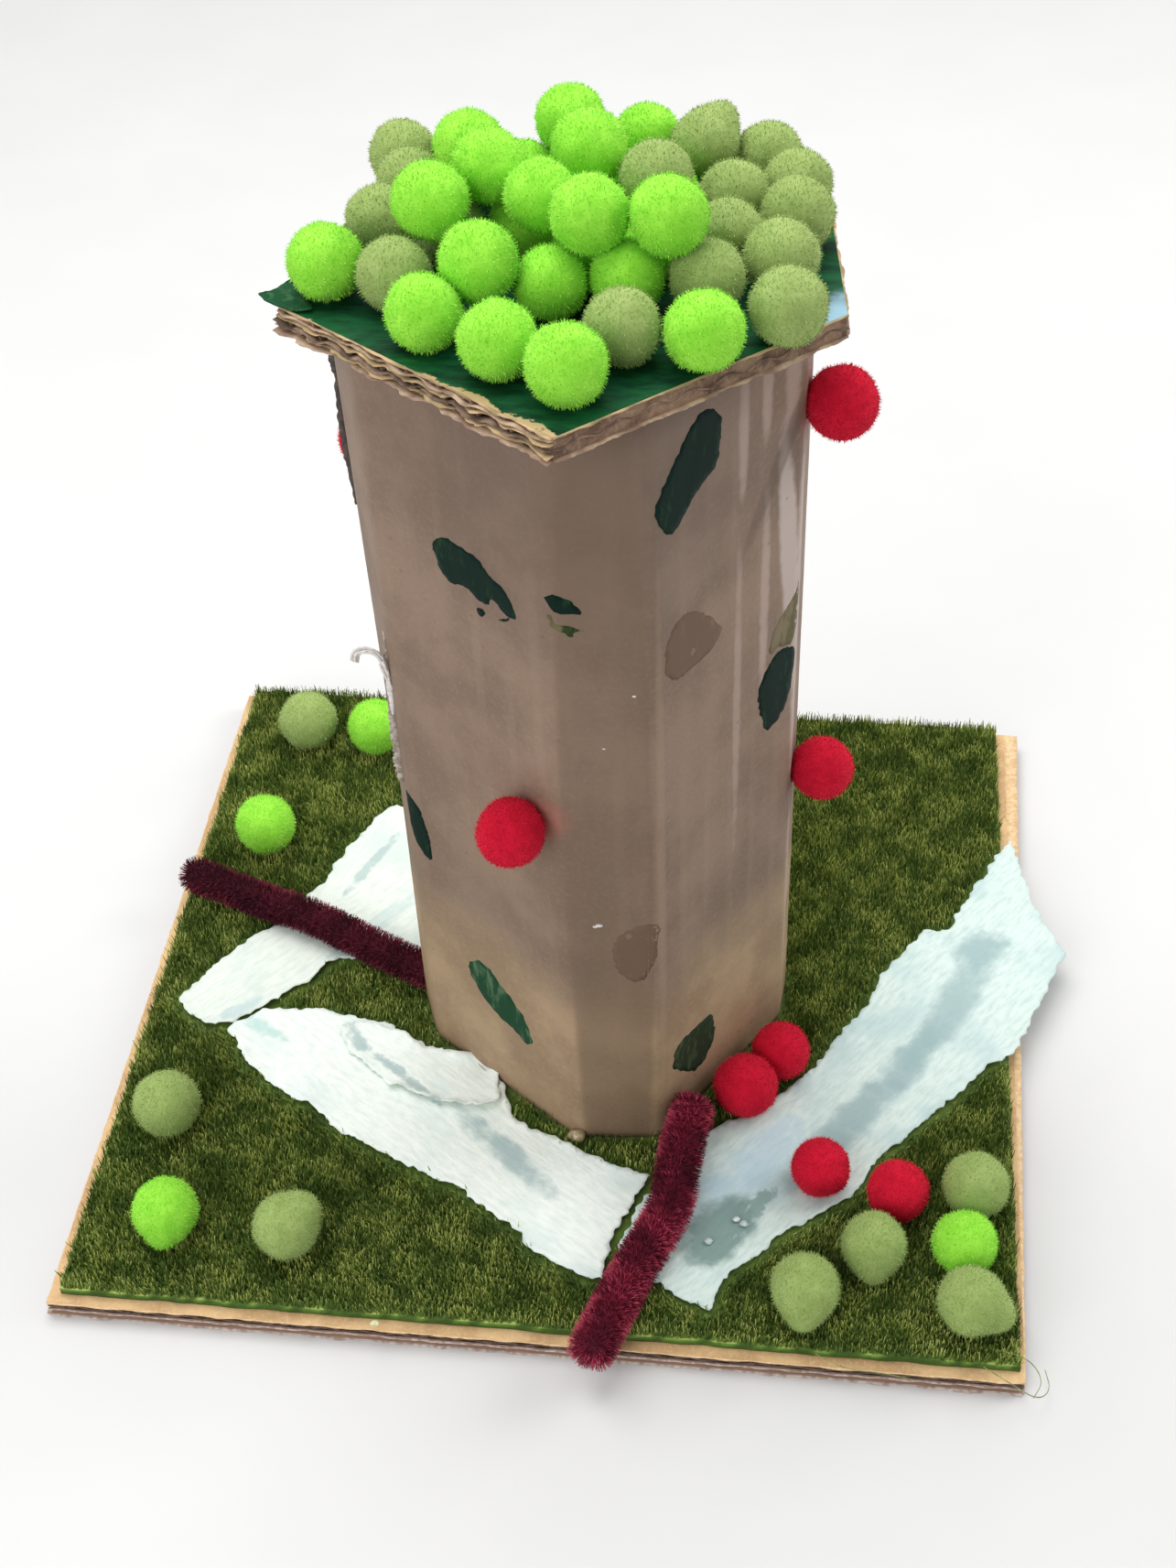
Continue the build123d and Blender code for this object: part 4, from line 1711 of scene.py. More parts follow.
        closed_film(piece, spots, triangles, outer, inner)

    @staticmethod
    def rounded(outline: Outline) -> list[Spot]:
        """Cut the corners of an outline once.

        Args:
            outline: The outline.

        Returns:
            The rounder outline.
        """
        cut = []
        for start, end in around(outline):
            a, b = Vector(start), Vector(end)
            cut += [tuple(a.lerp(b, 0.22)), tuple(a.lerp(b, 0.78))]
        return cut

    def build(self) -> None:
        """Make one object for each kind of mark."""
        fresh = DaubFinish("fresh_paint", rgb(30, 70, 46), rgb(82, 112, 82), 0.5)
        dull = DaubFinish("dull_paint", rgb(44, 58, 42), rgb(70, 82, 56), 0.5)
        smear = DaubFinish("dry_paint", rgb(52, 66, 38), rgb(110, 104, 74), 0.4)
        faded = DaubFinish("faded_paint", rgb(104, 98, 72), rgb(130, 118, 94), 0.42, 0.7)
        stain = DaubFinish("glue_stain", rgb(113, 92, 76), rgb(122, 101, 84), 0.56, 0.5)
        kinds = [
            ("leaf_daubs", self.wet, 1.0, DaubFinish("leaf_paint"), Slot.PAINTED),
            ("leaf_fresh", self.fresh, 1.0, fresh, Slot.PAINTED),
            ("leaf_dull", self.dull, 1.0, dull, Slot.PAINTED),
            ("leaf_smear", self.dry, 0.6, smear, Slot.PAINTED),
            ("leaf_faded", self.faded, 0.5, faded, Slot.PAINTED),
            ("wall_stains", self.stains, 0.3, stain, Slot.KRAFT),
        ]
        for name, daubs, share, finish, slot in kinds:
            piece = Piece()
            for number, daub in enumerate(daubs, 1):
                self.add(piece, daub, self.film * share, number)
            finish_piece(piece, name, slot, finish)


@dataclass(frozen=True)
class Ball:
    """A felted ball of the frame in millimetres: centre, radius, and how far its tip is drawn out."""

    centre: Vector
    radius: float
    tip: Vector

    @classmethod
    def fit(cls, points: np.ndarray) -> "Ball":
        """Find the ball that most of a solid's vertices lie on.

        Args:
            points: The solid's vertices in millimetres.

        Returns:
            The ball, with the tip that stands out of it.
        """
        kept = points
        for slack in (0.6, 0.3, 0.1):
            system = np.c_[2 * kept, np.ones(len(kept))]
            answer = np.linalg.lstsq(system, (kept**2).sum(1), rcond=None)[0]
            centre = answer[:3]
            radius = math.sqrt(answer[3] + centre @ centre)
            gap = np.abs(np.linalg.norm(points - centre, axis=1) - radius)
            kept = points[gap < slack]
        reach = np.linalg.norm(points - centre, axis=1)
        farthest = points[reach.argmax()] - centre
        beyond = reach.max() - radius
        tip = Vector(farthest).normalized() * beyond if beyond > 0.3 else Vector((0, 0, 0))
        return cls(Vector(centre), radius, tip)


@dataclass
class Pompoms:
    """Every pompom as a lumpy felted ball with short fibres."""

    swell: float = 0.2
    lump: float = 0.3
    lump_size: float = 4.6
    fine: float = 0.12
    fine_size: float = 1.5
    detail: int = 4
    tip_share: float = 0.12
    tip_gain: float = 1.15
    rise: float = 0.35
    lime_inner: tuple[float, float] = (-12.0, 25.0)
    pile: PileSettings = PileSettings(
        density=3.9, length=0.62, width=0.15, shortest=0.5, lean=0.95, lean_spread=0.5, curl=0.6, clump=0.3,
        clump_size=2.5, sections=1, taper=0.8,
    )
    finishes: dict[Felt, PileFinish] = field(default_factory=lambda: {
        Felt.LIME: PileFinish(
            "felted_lime", rgb(104, 192, 42), rgb(170, 240, 66), rgb(212, 255, 128), 4.0, 0.1, 0.95, 0.3, 0.12
        ),
        Felt.OLIVE: PileFinish(
            "felted_olive", rgb(122, 146, 74), rgb(164, 184, 108), rgb(204, 220, 150), 4.0, 0.1, 0.95, 0.3,
            0.12,
        ),
        Felt.RED: PileFinish(
            "felted_red", rgb(158, 4, 32), rgb(236, 14, 54), rgb(250, 66, 92), 4.0, 0.2, 0.95, 0.2, 0.12
        ),
    })
    materials: dict[Felt, Material] = field(default_factory=dict)

    def surface(self, piece: Piece, ball: Ball, seed: float) -> None:
        """Add one lumpy ball.

        Args:
            piece: Piece that takes the ball.
            ball: The ball.
            seed: Place in the noise.
        """
        shell = bmesh.new()
        bmesh.ops.create_icosphere(shell, subdivisions=self.detail, radius=1.0)
        places = []
        reach = ball.tip.length
        for vertex in shell.verts:
            out = vertex.co.normalized()
            spot = out * ball.radius
            push = self.swell + self.lump * wobble(spot, self.lump_size, seed)
            push += self.fine * wobble(spot, self.fine_size, seed + 5)
            if reach > 0:
                off_tip = out.dot(ball.tip.normalized()) - 1
                push += self.tip_gain * reach * math.exp(off_tip / self.tip_share)
            places.append((ball.centre + out * (ball.radius + push)) * MM)
        faces = [tuple(v.index for v in face.verts) for face in shell.faces]
        tints = [0.5 + 0.2 * wobble(place / MM, 1.6, seed) for place in places]
        count = len(places)
        piece.join(places, faces, open=[1.0] * count, tint=tints, rise=[self.rise] * count)
        shell.free()

    def make(self, name: str, felt: Felt, balls: Sequence[Ball], seed: int, *replaced: str) -> None:
        """Make one piece of one or more balls of a colour.

        Args:
            name: Name of the piece.
            felt: Colour.
            balls: The balls.
            seed: Fixed seed.
            *replaced: Nodes that the piece stands for.
        """
        piece = Piece()
        for index, ball in enumerate(balls):
            self.surface(piece, ball, 1.37 * seed + 7.1 * index)
        made = piece.object(name, [self.materials[felt]])
        PILE.grow(made, self.pile, self.materials[felt], seed)
        place_piece(made, Slot[felt.name], *replaced)

    def build(self) -> None:
        """Replace every pompom node of the frame."""
        self.materials = {felt: finish.material() for felt, finish in self.finishes.items()}
        west, east = self.lime_inner
        names = sorted(node for node in frame["nodes"] if "pompom" in node)
        for seed, node in enumerate(names, 11):
            balls = [Ball.fit(solid) for solid in node_islands(node)]
            if node == "roof_pompoms_inner":
                outer = [ball for ball in balls if ball.centre.x > east or ball.centre.x < west]
                inner = [ball for ball in balls if ball not in outer]
                for felt, group in ((Felt.OLIVE, outer), (Felt.LIME, inner)):
                    self.make(f"inner_pompoms_{felt.value}", felt, group, seed, node)
                continue
            felt = next(f for f in Felt if f.value in node)
            self.make(f"{node}_felt", felt, balls, seed, node)


@dataclass
class Turf:
    """Artificial turf: pile pressed flat under what stands on it, and upright blades elsewhere."""

    cell: float = 1.9
    backing: float = 1.9
    right_shift: tuple[float, float] = (3.0, 1.6)
    edge_ragged: float = 0.35
    pressed_gap: float = 0.1
    press_reach: float = 2.5
    free_from: float = 0.9
    shift_share: float = 0.2
    unevenness: float = 0.2
    pile: PileSettings = PileSettings(
        density=6.2, length=2.9, width=0.3, shortest=0.5, lean=0.48, lean_spread=0.42, clump=0.45,
        clump_size=5.0, curl=0.35, sections=1, taper=0.55, keep_surface=False,
    )
    finish: PileFinish = PileFinish(
        "grass", rgb(66, 90, 34), rgb(128, 154, 62), rgb(208, 212, 120), cloud=7.0, tip_from=0.3,
        roughness=0.7, sheen=0.0,
    )
    backing_finish: PileFinish = PileFinish(
        "turf_backing", rgb(52, 78, 26), rgb(98, 136, 52), rgb(134, 172, 78), cloud=3.0, roughness=0.8
    )

    @staticmethod
    def cover(spots: np.ndarray, tower: TowerShape, papers: Sequence[Outline]) -> np.ndarray:
        """Measure how far spots lie under the papers or the tower.

        Args:
            spots: Flat points, one in each row.
            tower: Outer face of the tower.
            papers: Outlines of the papers.

        Returns:
            The depth under them in millimetres, or minus the distance from them.
        """
        foot = [tuple(tower.plan(along)[0]) for along in tower.steps(4.0)]
        deepest = np.full(len(spots), -1e3)
        for shape in [*papers, foot]:
            gap = outline_gap(spots, shape)
            deepest = np.maximum(deepest, np.where(inside(spots, shape), gap, -gap))
        return deepest

    def build(self, tower: TowerShape, papers: Sequence[Outline]) -> None:
        """Make the backing and the pile in two halves.

        Args:
            tower: Outer face of the tower.
            papers: Outlines of the papers.
        """
        low, high = (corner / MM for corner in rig.box("turf_mat"))
        columns = round((high.x - low.x) / self.cell)
        rows = round((high.y - low.y) / self.cell)
        wide = columns + 1
        front, back = self.right_shift
        spots = []
        for row in range(rows + 1):
            for column in range(wide):
                x = low.x + (high.x - low.x) * column / columns
                y = low.y + (high.y - low.y) * row / rows
                if row == 0:
                    y += self.edge_ragged * wobble((x, y), 5.0, 1.0)
                if column in (0, columns):
                    x += self.edge_ragged * wobble((y, x), 5.0, 4.0)
                share = max(0.0, (x - low.x) / (high.x - low.x) - (1 - self.shift_share))
                x += (front + (back - front) * row / rows) * share / self.shift_share
                spots.append((x, y))
        tops, opens = [], []
        for spot, under in zip(spots, self.cover(np.array(spots), tower, papers)):
            pressed = min(1.0, max(0.0, under / self.press_reach + 0.6))
            level = low.z + self.backing + self.unevenness * wobble(spot, 3.0)
            level += (high.z - self.pressed_gap - level) * pressed
            tops.append(Vector((*spot, level)))
            opens.append(min(1.0, max(0.0, -under - self.free_from)))
        self.backing_piece(tops, rows, columns, low.z)
        material = self.finish.material()
        half = columns // 2
        for side, (first, last) in {"left": (0, half), "right": (half, columns)}.items():
            piece = Piece()
            picked = [row * wide + column for row in range(rows + 1) for column in range(first, last + 1)]
            faces = net(rows, last - first, last - first + 1)
            piece.join([tops[i] * MM for i in picked], faces, open=[opens[i] for i in picked])
            made = piece.object(f"turf_pile_{side}", [material])
            PILE.grow(made, self.pile, material, 5 if side == "left" else 6)
            place_piece(made, Slot.TURF)

    def backing_piece(self, tops: Sequence[Vector], rows: int, columns: int, floor: float) -> None:
        """Close the backing below and at its cut edges, and stand it for the frame's mat.

        Args:
            tops: Points of the upper side, row by row.
            rows: Number of rows of cells.
            columns: Number of cells in a row.
            floor: Level of the underside in millimetres.
        """
        wide = columns + 1
        total = len(tops)
        faces = net(rows, columns, wide)
        faces += turned(faces, total)
        ring = [*range(columns), *(columns + wide * r for r in range(rows))]
        ring += [*(rows * wide + c for c in range(columns, 0, -1)), *(r * wide for r in range(rows, 0, -1))]
        bottoms = [Vector((top.x, top.y, floor)) for top in tops]
        piece = Piece()
        places = [spot * MM for spot in [*tops, *bottoms]]
        piece.join(places, faces, tint=[0.3] * (2 * total), rise=[0.1] * (2 * total))
        edge_places = [spot * MM for i in ring for spot in (tops[i], bottoms[i])]
        count = len(ring)
        cut = [(2 * b, 2 * a, 2 * a + 1, 2 * b + 1) for a, b in around(range(count))]
        piece.join(edge_places, cut, 1, tint=[0.9] * (2 * count), rise=[0.8, -0.35] * count)
        materials = [self.finish.material(), self.backing_finish.material()]
        made = piece.object("turf_backing", materials)
        shell = bmesh.new()
        shell.from_mesh(made.data)
        bmesh.ops.remove_doubles(shell, verts=shell.verts, dist=0.001 * MM)
        shell.to_mesh(made.data)
        shell.free()
        place_piece(made, Slot.TURF, "turf_mat")


@dataclass(frozen=True)
class PaperPlan:
    """One torn piece of paper towel: its node, the turn of its creping, and its washes."""

    node: str
    turn: float
    tones: tuple[Colour, Colour, Colour]
    washes: Sequence[WallPatch]


@dataclass
class RiverPapers:
    """The torn papers, creped and lifting a little at their edges."""

    tear_step: float = 0.8
    tear_depth: float = 1.15
    spacing: float = 1.0
    thickness: float = 0.22
    ripple: float = 0.35
    crepe: float = 0.1
    crepe_pitch: float = 2.6
    edge_lift: float = 0.9
    edge_reach: float = 3.0
    ply_gap: float = 0.7
    ply_curl: float = 2.6
    clearance: float = 0.15
    ply: Outline = (
        (-49.4, -27.2), (-38.0, -36.9), (-29.0, -40.0), (-18.3, -41.6), (-13.5, -38.6), (-15.6, -24.2),
        (-24.9, -26.4), (-36.1, -23.3), (-48.9, -18.9), (-54.0, -20.7),
    )
    grey: Colour = rgb(150, 176, 176)
    blue: Colour = rgb(176, 204, 218)
    pale: Colour = rgb(178, 202, 204)

    def plans(self) -> list[PaperPlan]:
        """List the three pieces with the paint on them, in plan millimetres.

        Returns:
            The plans.
        """
        grey, blue, pale = self.grey, self.blue, self.pale
        white = (rgb(240, 246, 238), rgb(222, 232, 225), rgb(208, 224, 220))
        washed = (rgb(214, 229, 222), rgb(190, 210, 204), rgb(172, 198, 198))
        return [
            PaperPlan("paper_left", 0.9, (rgb(226, 232, 222), rgb(208, 218, 208), rgb(196, 210, 204)), (
                WallPatch(-56.0, 33.0, 1.15, 14.0, 1.6, grey, 0.6, 0.7, 0.8, 3.0),
                WallPatch(-78.0, -16.0, 0.7, 7.0, 2.4, pale, 0.6, 0.8, 0.9),
                WallPatch(-50.0, 14.0, 0.9, 20.0, 3.0, pale, 0.4, 0.8, 0.9),
            )),
            PaperPlan("paper_front", -0.62, white, (
                WallPatch(-10.0, -52.0, -0.72, 20.0, 3.8, grey, 0.75, 0.5, 1.0, 6.0),
                WallPatch(-36.0, -33.5, -0.66, 14.0, 1.6, grey, 0.7, 0.8, 0.8, 4.0),
                WallPatch(-48.5, -24.0, -0.9, 6.5, 2.2, grey, 0.7, 0.8, 0.9),
                WallPatch(-72.0, -21.5, -0.5, 8.0, 2.4, rgb(160, 206, 200), 0.55, 0.8, 0.9),
            )),
            PaperPlan("paper_right", 0.92, washed, (
                WallPatch(65.0, -38.0, 0.92, 30.0, 5.6, grey, 0.85, 0.4, 0.9, 7.0),
                WallPatch(77.5, -20.0, 1.0, 17.0, 5.2, grey, 0.8, 0.4, 0.9, 7.0),
                WallPatch(88.0, -2.0, 1.1, 24.0, 5.6, grey, 0.8, 0.4, 0.9, 7.0),
                WallPatch(95.0, 17.0, 0.7, 9.0, 6.0, grey, 0.8, 0.4, 0.9),
                WallPatch(44.0, -52.0, 0.9, 22.0, 7.0, blue, 0.6, 0.6, 0.9, 9.0),
                WallPatch(38.5, -68.0, 0.95, 13.0, 7.6, rgb(118, 144, 138), 0.92, 0.35, 0.7, 6.0, True),
                WallPatch(46.5, -61.0, 0.95, 6.0, 2.4, rgb(128, 156, 150), 0.8, 0.9, 0.6, 3.0),
            )),
        ]

    def outline(self, node: str) -> list[Spot]:
        """Read a paper's outline from the upper side of its node.

        Args:
            node: Name of the node.

        Returns:
            The outline in millimetres.
        """
        points = node_points(node)
        top = points[:, 2].max()
        faces = []
        for polygon in frame["nodes"][node].data.polygons:
            corners = [points[i] for i in polygon.vertices]
            if min(corner[2] for corner in corners) > top - 0.01:
                faces.append([(round(float(x), 3), round(float(y), 3)) for x, y, _ in corners])
        following = dict(rim_of(faces))
        start = min(following)
        loop = [start]
        while following[loop[-1]] != start:
            loop.append(following[loop[-1]])
        return loop

    def build(self) -> list[list[Spot]]:
        """Make the papers.

        Returns:
            Their torn outlines.
        """
        torn_outlines = []
        for number, plan in enumerate(self.plans()):
            given = self.outline(plan.node)
            outline = torn_outline(given, self.tear_step, self.tear_depth, 11.0 * number)
            torn_outlines.append(outline)
            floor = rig.box(plan.node)[0].z / MM
            made = self.sheet(f"{plan.node}_towel", outline, floor, plan, number)
            place_piece(made, Slot.PAPER, plan.node)
            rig.sheet(made, held="laid", rests_on=["turf_backing"], **sheet_sizes(given))
            if plan.node == "paper_front":
                self.second_ply(floor, plan, number)
        return torn_outlines

    def second_ply(self, floor: float, plan: PaperPlan, number: int) -> None:
        """Lay the loose second ply on the front paper, its torn edge curling up.

        Args:
            floor: Level of the paper below.
            plan: Creping and washes.
            number: Place in the noise.
        """
        outline = torn_outline(self.ply, self.tear_step, self.tear_depth, 41.0)
        made = self.sheet("paper_front_ply", outline, floor + self.ply_gap, plan, number, self.ply_curl)
        place_piece(made, Slot.PAPER)
        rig.sheet(made, held="laid", rests_on=["paper_front_towel"], **sheet_sizes(self.ply))

    def level(self, spot: Spot, gap: float, turn: float, seed: float, curl: float) -> float:
        """Find how high the paper lies over the pressed turf.

        Args:
            spot: Place in plan.
            gap: Distance from the torn edge.
            turn: Turn of the creping.
            seed: Place in the noise.
            curl: Factor on the lift of the torn edge.

        Returns:
            The level in millimetres.
        """
        across = -spot[0] * math.sin(turn) + spot[1] * math.cos(turn)
        along = spot[0] * math.cos(turn) + spot[1] * math.sin(turn)
        ripple = self.ripple * (0.5 + 0.5 * wobble(spot, 15.0, seed))
        wave = 2 * math.pi * across / self.crepe_pitch + 1.5 * wobble((along, across), 12.0, seed)
        near = max(0.0, 1 - gap / self.edge_reach) ** 2
        lift = curl * self.edge_lift * (0.5 + 0.9 * wobble(spot, 6.0, seed + 3)) * near
        return self.clearance + ripple + self.crepe * math.sin(wave) * 0.7 + max(0.0, lift)

    def sheet(
        self, name: str, outline: Outline, floor: float, plan: PaperPlan, number: int, curl: float = 1.0
    ) -> Object:
        """Make one sheet as a thin closed body.

        Args:
            name: Name of the object.
            outline: Torn outline in plan.
            floor: Level of what the sheet lies on.
            plan: Creping and washes.
            number: Place in the noise.
            curl: Factor on the lift of the torn edges.

        Returns:
            The object.
        """
        spots, triangles = fill_outline(outline, self.spacing)
        gaps = outline_gap(np.array(spots), outline)
        seed = 2.7 * number
        levels = {
            spot: self.level(spot, float(gap), plan.turn, seed, curl) for spot, gap in zip(spots, gaps)
        }
        piece = Piece()

        def upper(spot: Spot) -> Vector:
            """Place on the paper's upper side."""
            return Vector((spot[0], spot[1], floor + levels[spot] + self.thickness)) * MM

        def lower(spot: Spot) -> Vector:
            """Place on the paper's lower side."""
            return Vector((spot[0], spot[1], floor + levels[spot])) * MM

        closed_film(piece, spots, triangles, upper, lower)
        finish = PaperFinish(f"towel_{plan.node}", plan.washes, plan.turn, *plan.tones)
        return piece.object(name, [finish.material()])


@dataclass
class Stem:
    """Chenille stem: a twisted wire whose pile stands out all round."""

    node: str
    route: Sequence[tuple[float, float, float]]
    thickness: float
    seed: int
    core_share: float = 0.62
    ring_step: float = 0.8
    sides: int = 14
    twist_pitch: float = 5.0

    def line(self) -> list[Vector]:
        """Draw a smooth line along the route.

        Returns:
            Points along the line in millimetres.
        """
        curve = bpy.data.curves.new(f"{self.node}_line", "CURVE")
        curve.dimensions = "3D"
        spline = curve.splines.new("NURBS")
        spline.points.add(len(self.route) - 1)
        for point, place in zip(spline.points, self.route):
            point.co = (*place, 1.0)
        spline.order_u = 3
        spline.use_endpoint_u = True
        spline.resolution_u = 16
        carrier = bpy.data.objects.new(curve.name, curve)
        bpy.context.scene.collection.objects.link(carrier)
        scene_graph = bpy.context.evaluated_depsgraph_get()
        mesh = bpy.data.meshes.new_from_object(carrier.evaluated_get(scene_graph))
        points = [vertex.co.copy() for vertex in mesh.vertices]
        bpy.data.objects.remove(carrier)
        bpy.data.curves.remove(curve)
        bpy.data.meshes.remove(mesh)
        return points

    def even(self, points: Sequence[Vector]) -> list[Vector]:
        """Space the line's points evenly.

        Args:
            points: Points along the line.

        Returns:
            Points a ring's step apart.
        """
        lengths = [0.0]
        for a, b in zip(points, points[1:]):
            lengths.append(lengths[-1] + (b - a).length)
        count = round(lengths[-1] / self.ring_step)
        spaced = []
        for index in range(count + 1):
            goal = lengths[-1] * index / count
            at = max(i for i, reach in enumerate(lengths) if reach <= goal + 1e-9)
            at = min(at, len(points) - 2)
            share = (goal - lengths[at]) / max(1e-9, lengths[at + 1] - lengths[at])
            spaced.append(points[at].lerp(points[at + 1], share))
        return spaced

    def build(self, material: Material) -> Object:
        """Make the pressed core and grow the pile on it.

        Args:
            material: Material of core and pile.

        Returns:
            The stem.
        """
        line = self.even(self.line())
        radius = self.thickness / 2 * self.core_share
        piece = Piece()
        places, tints = [], []
        last = len(line) - 1
        for index, centre in enumerate(line):
            ahead = (line[min(index + 1, last)] - line[max(index - 1, 0)]).normalized()
            side = ahead.cross(Vector((0, 0, 1))).normalized()
            over = side.cross(ahead)
            shrink = 0.55 if index in (0, last) else 1.0
            for step in range(self.sides):
                angle = 2 * math.pi * step / self.sides
                twist = math.cos(2 * (angle - 2 * math.pi * index * self.ring_step / self.twist_pitch))
                out = radius * shrink * (1 + 0.08 * twist + 0.14 * wobble(centre, 4.0, angle + self.seed))
                places.append((centre + (side * math.cos(angle) + over * math.sin(angle)) * out) * MM)
                tints.append(0.5 + 0.5 * wobble(centre, 2.5, 3 * angle + self.seed))
        faces = turned(net(last, self.sides, self.sides))
        faces.append(tuple(range(self.sides)))
        faces.append(tuple(last * self.sides + step for step in reversed(range(self.sides))))
        piece.join(places, faces, open=[1.0] * len(places), tint=tints, rise=[0.2] * len(places))
        made = piece.object(f"{self.node}_chenille", [material])
        reach = self.thickness / 2 - radius + 0.3
        pile = PileSettings(
            density=7.0, length=reach, width=0.2, shortest=0.7, lean=0.25, lean_spread=0.35, curl=0.2,
            clump=0.2, clump_size=3.0, taper=0.4,
        )
        PILE.grow(made, pile, material, self.seed)
        return place_piece(made, Slot.CHENILLE, self.node)


@dataclass
class Stems:
    """Both chenille stems, on the frame's routes."""

    level: float = 11.95
    left: Outline = ((-33.4, -5.2), (-51.0, 2.8), (-64.0, 9.8), (-81.0, 15.3), (-99.8, 22.6))
    front: Outline = ((31.0, -41.2), (28.2, -54.0), (28.6, -65.5), (22.5, -79.0), (14.4, -103.4))
    rise: float = 4.5

    def build(self) -> None:
        """Make the stems."""
        lit = PileFinish(
            "chenille_pile", rgb(58, 8, 27), rgb(150, 26, 58), rgb(206, 84, 108), cloud=10.0, tip_from=0.35,
            sheen=0.5, cloud_share=0.7,
        )
        shaded = PileFinish(
            "chenille_shaded", rgb(40, 8, 20), rgb(100, 22, 42), rgb(146, 54, 74), cloud=13.0, tip_from=0.35,
            sheen=0.4,
        )
        front = [(x, y, self.level) for x, y in self.front]
        front[0] = (*self.front[0], self.level + self.rise)
        left = [(x, y, self.level) for x, y in self.left]
        Stem("stem_left", left, 9.2, 71).build(shaded.material())
        Stem("stem_front", front, 10.4, 72).build(lit.material())


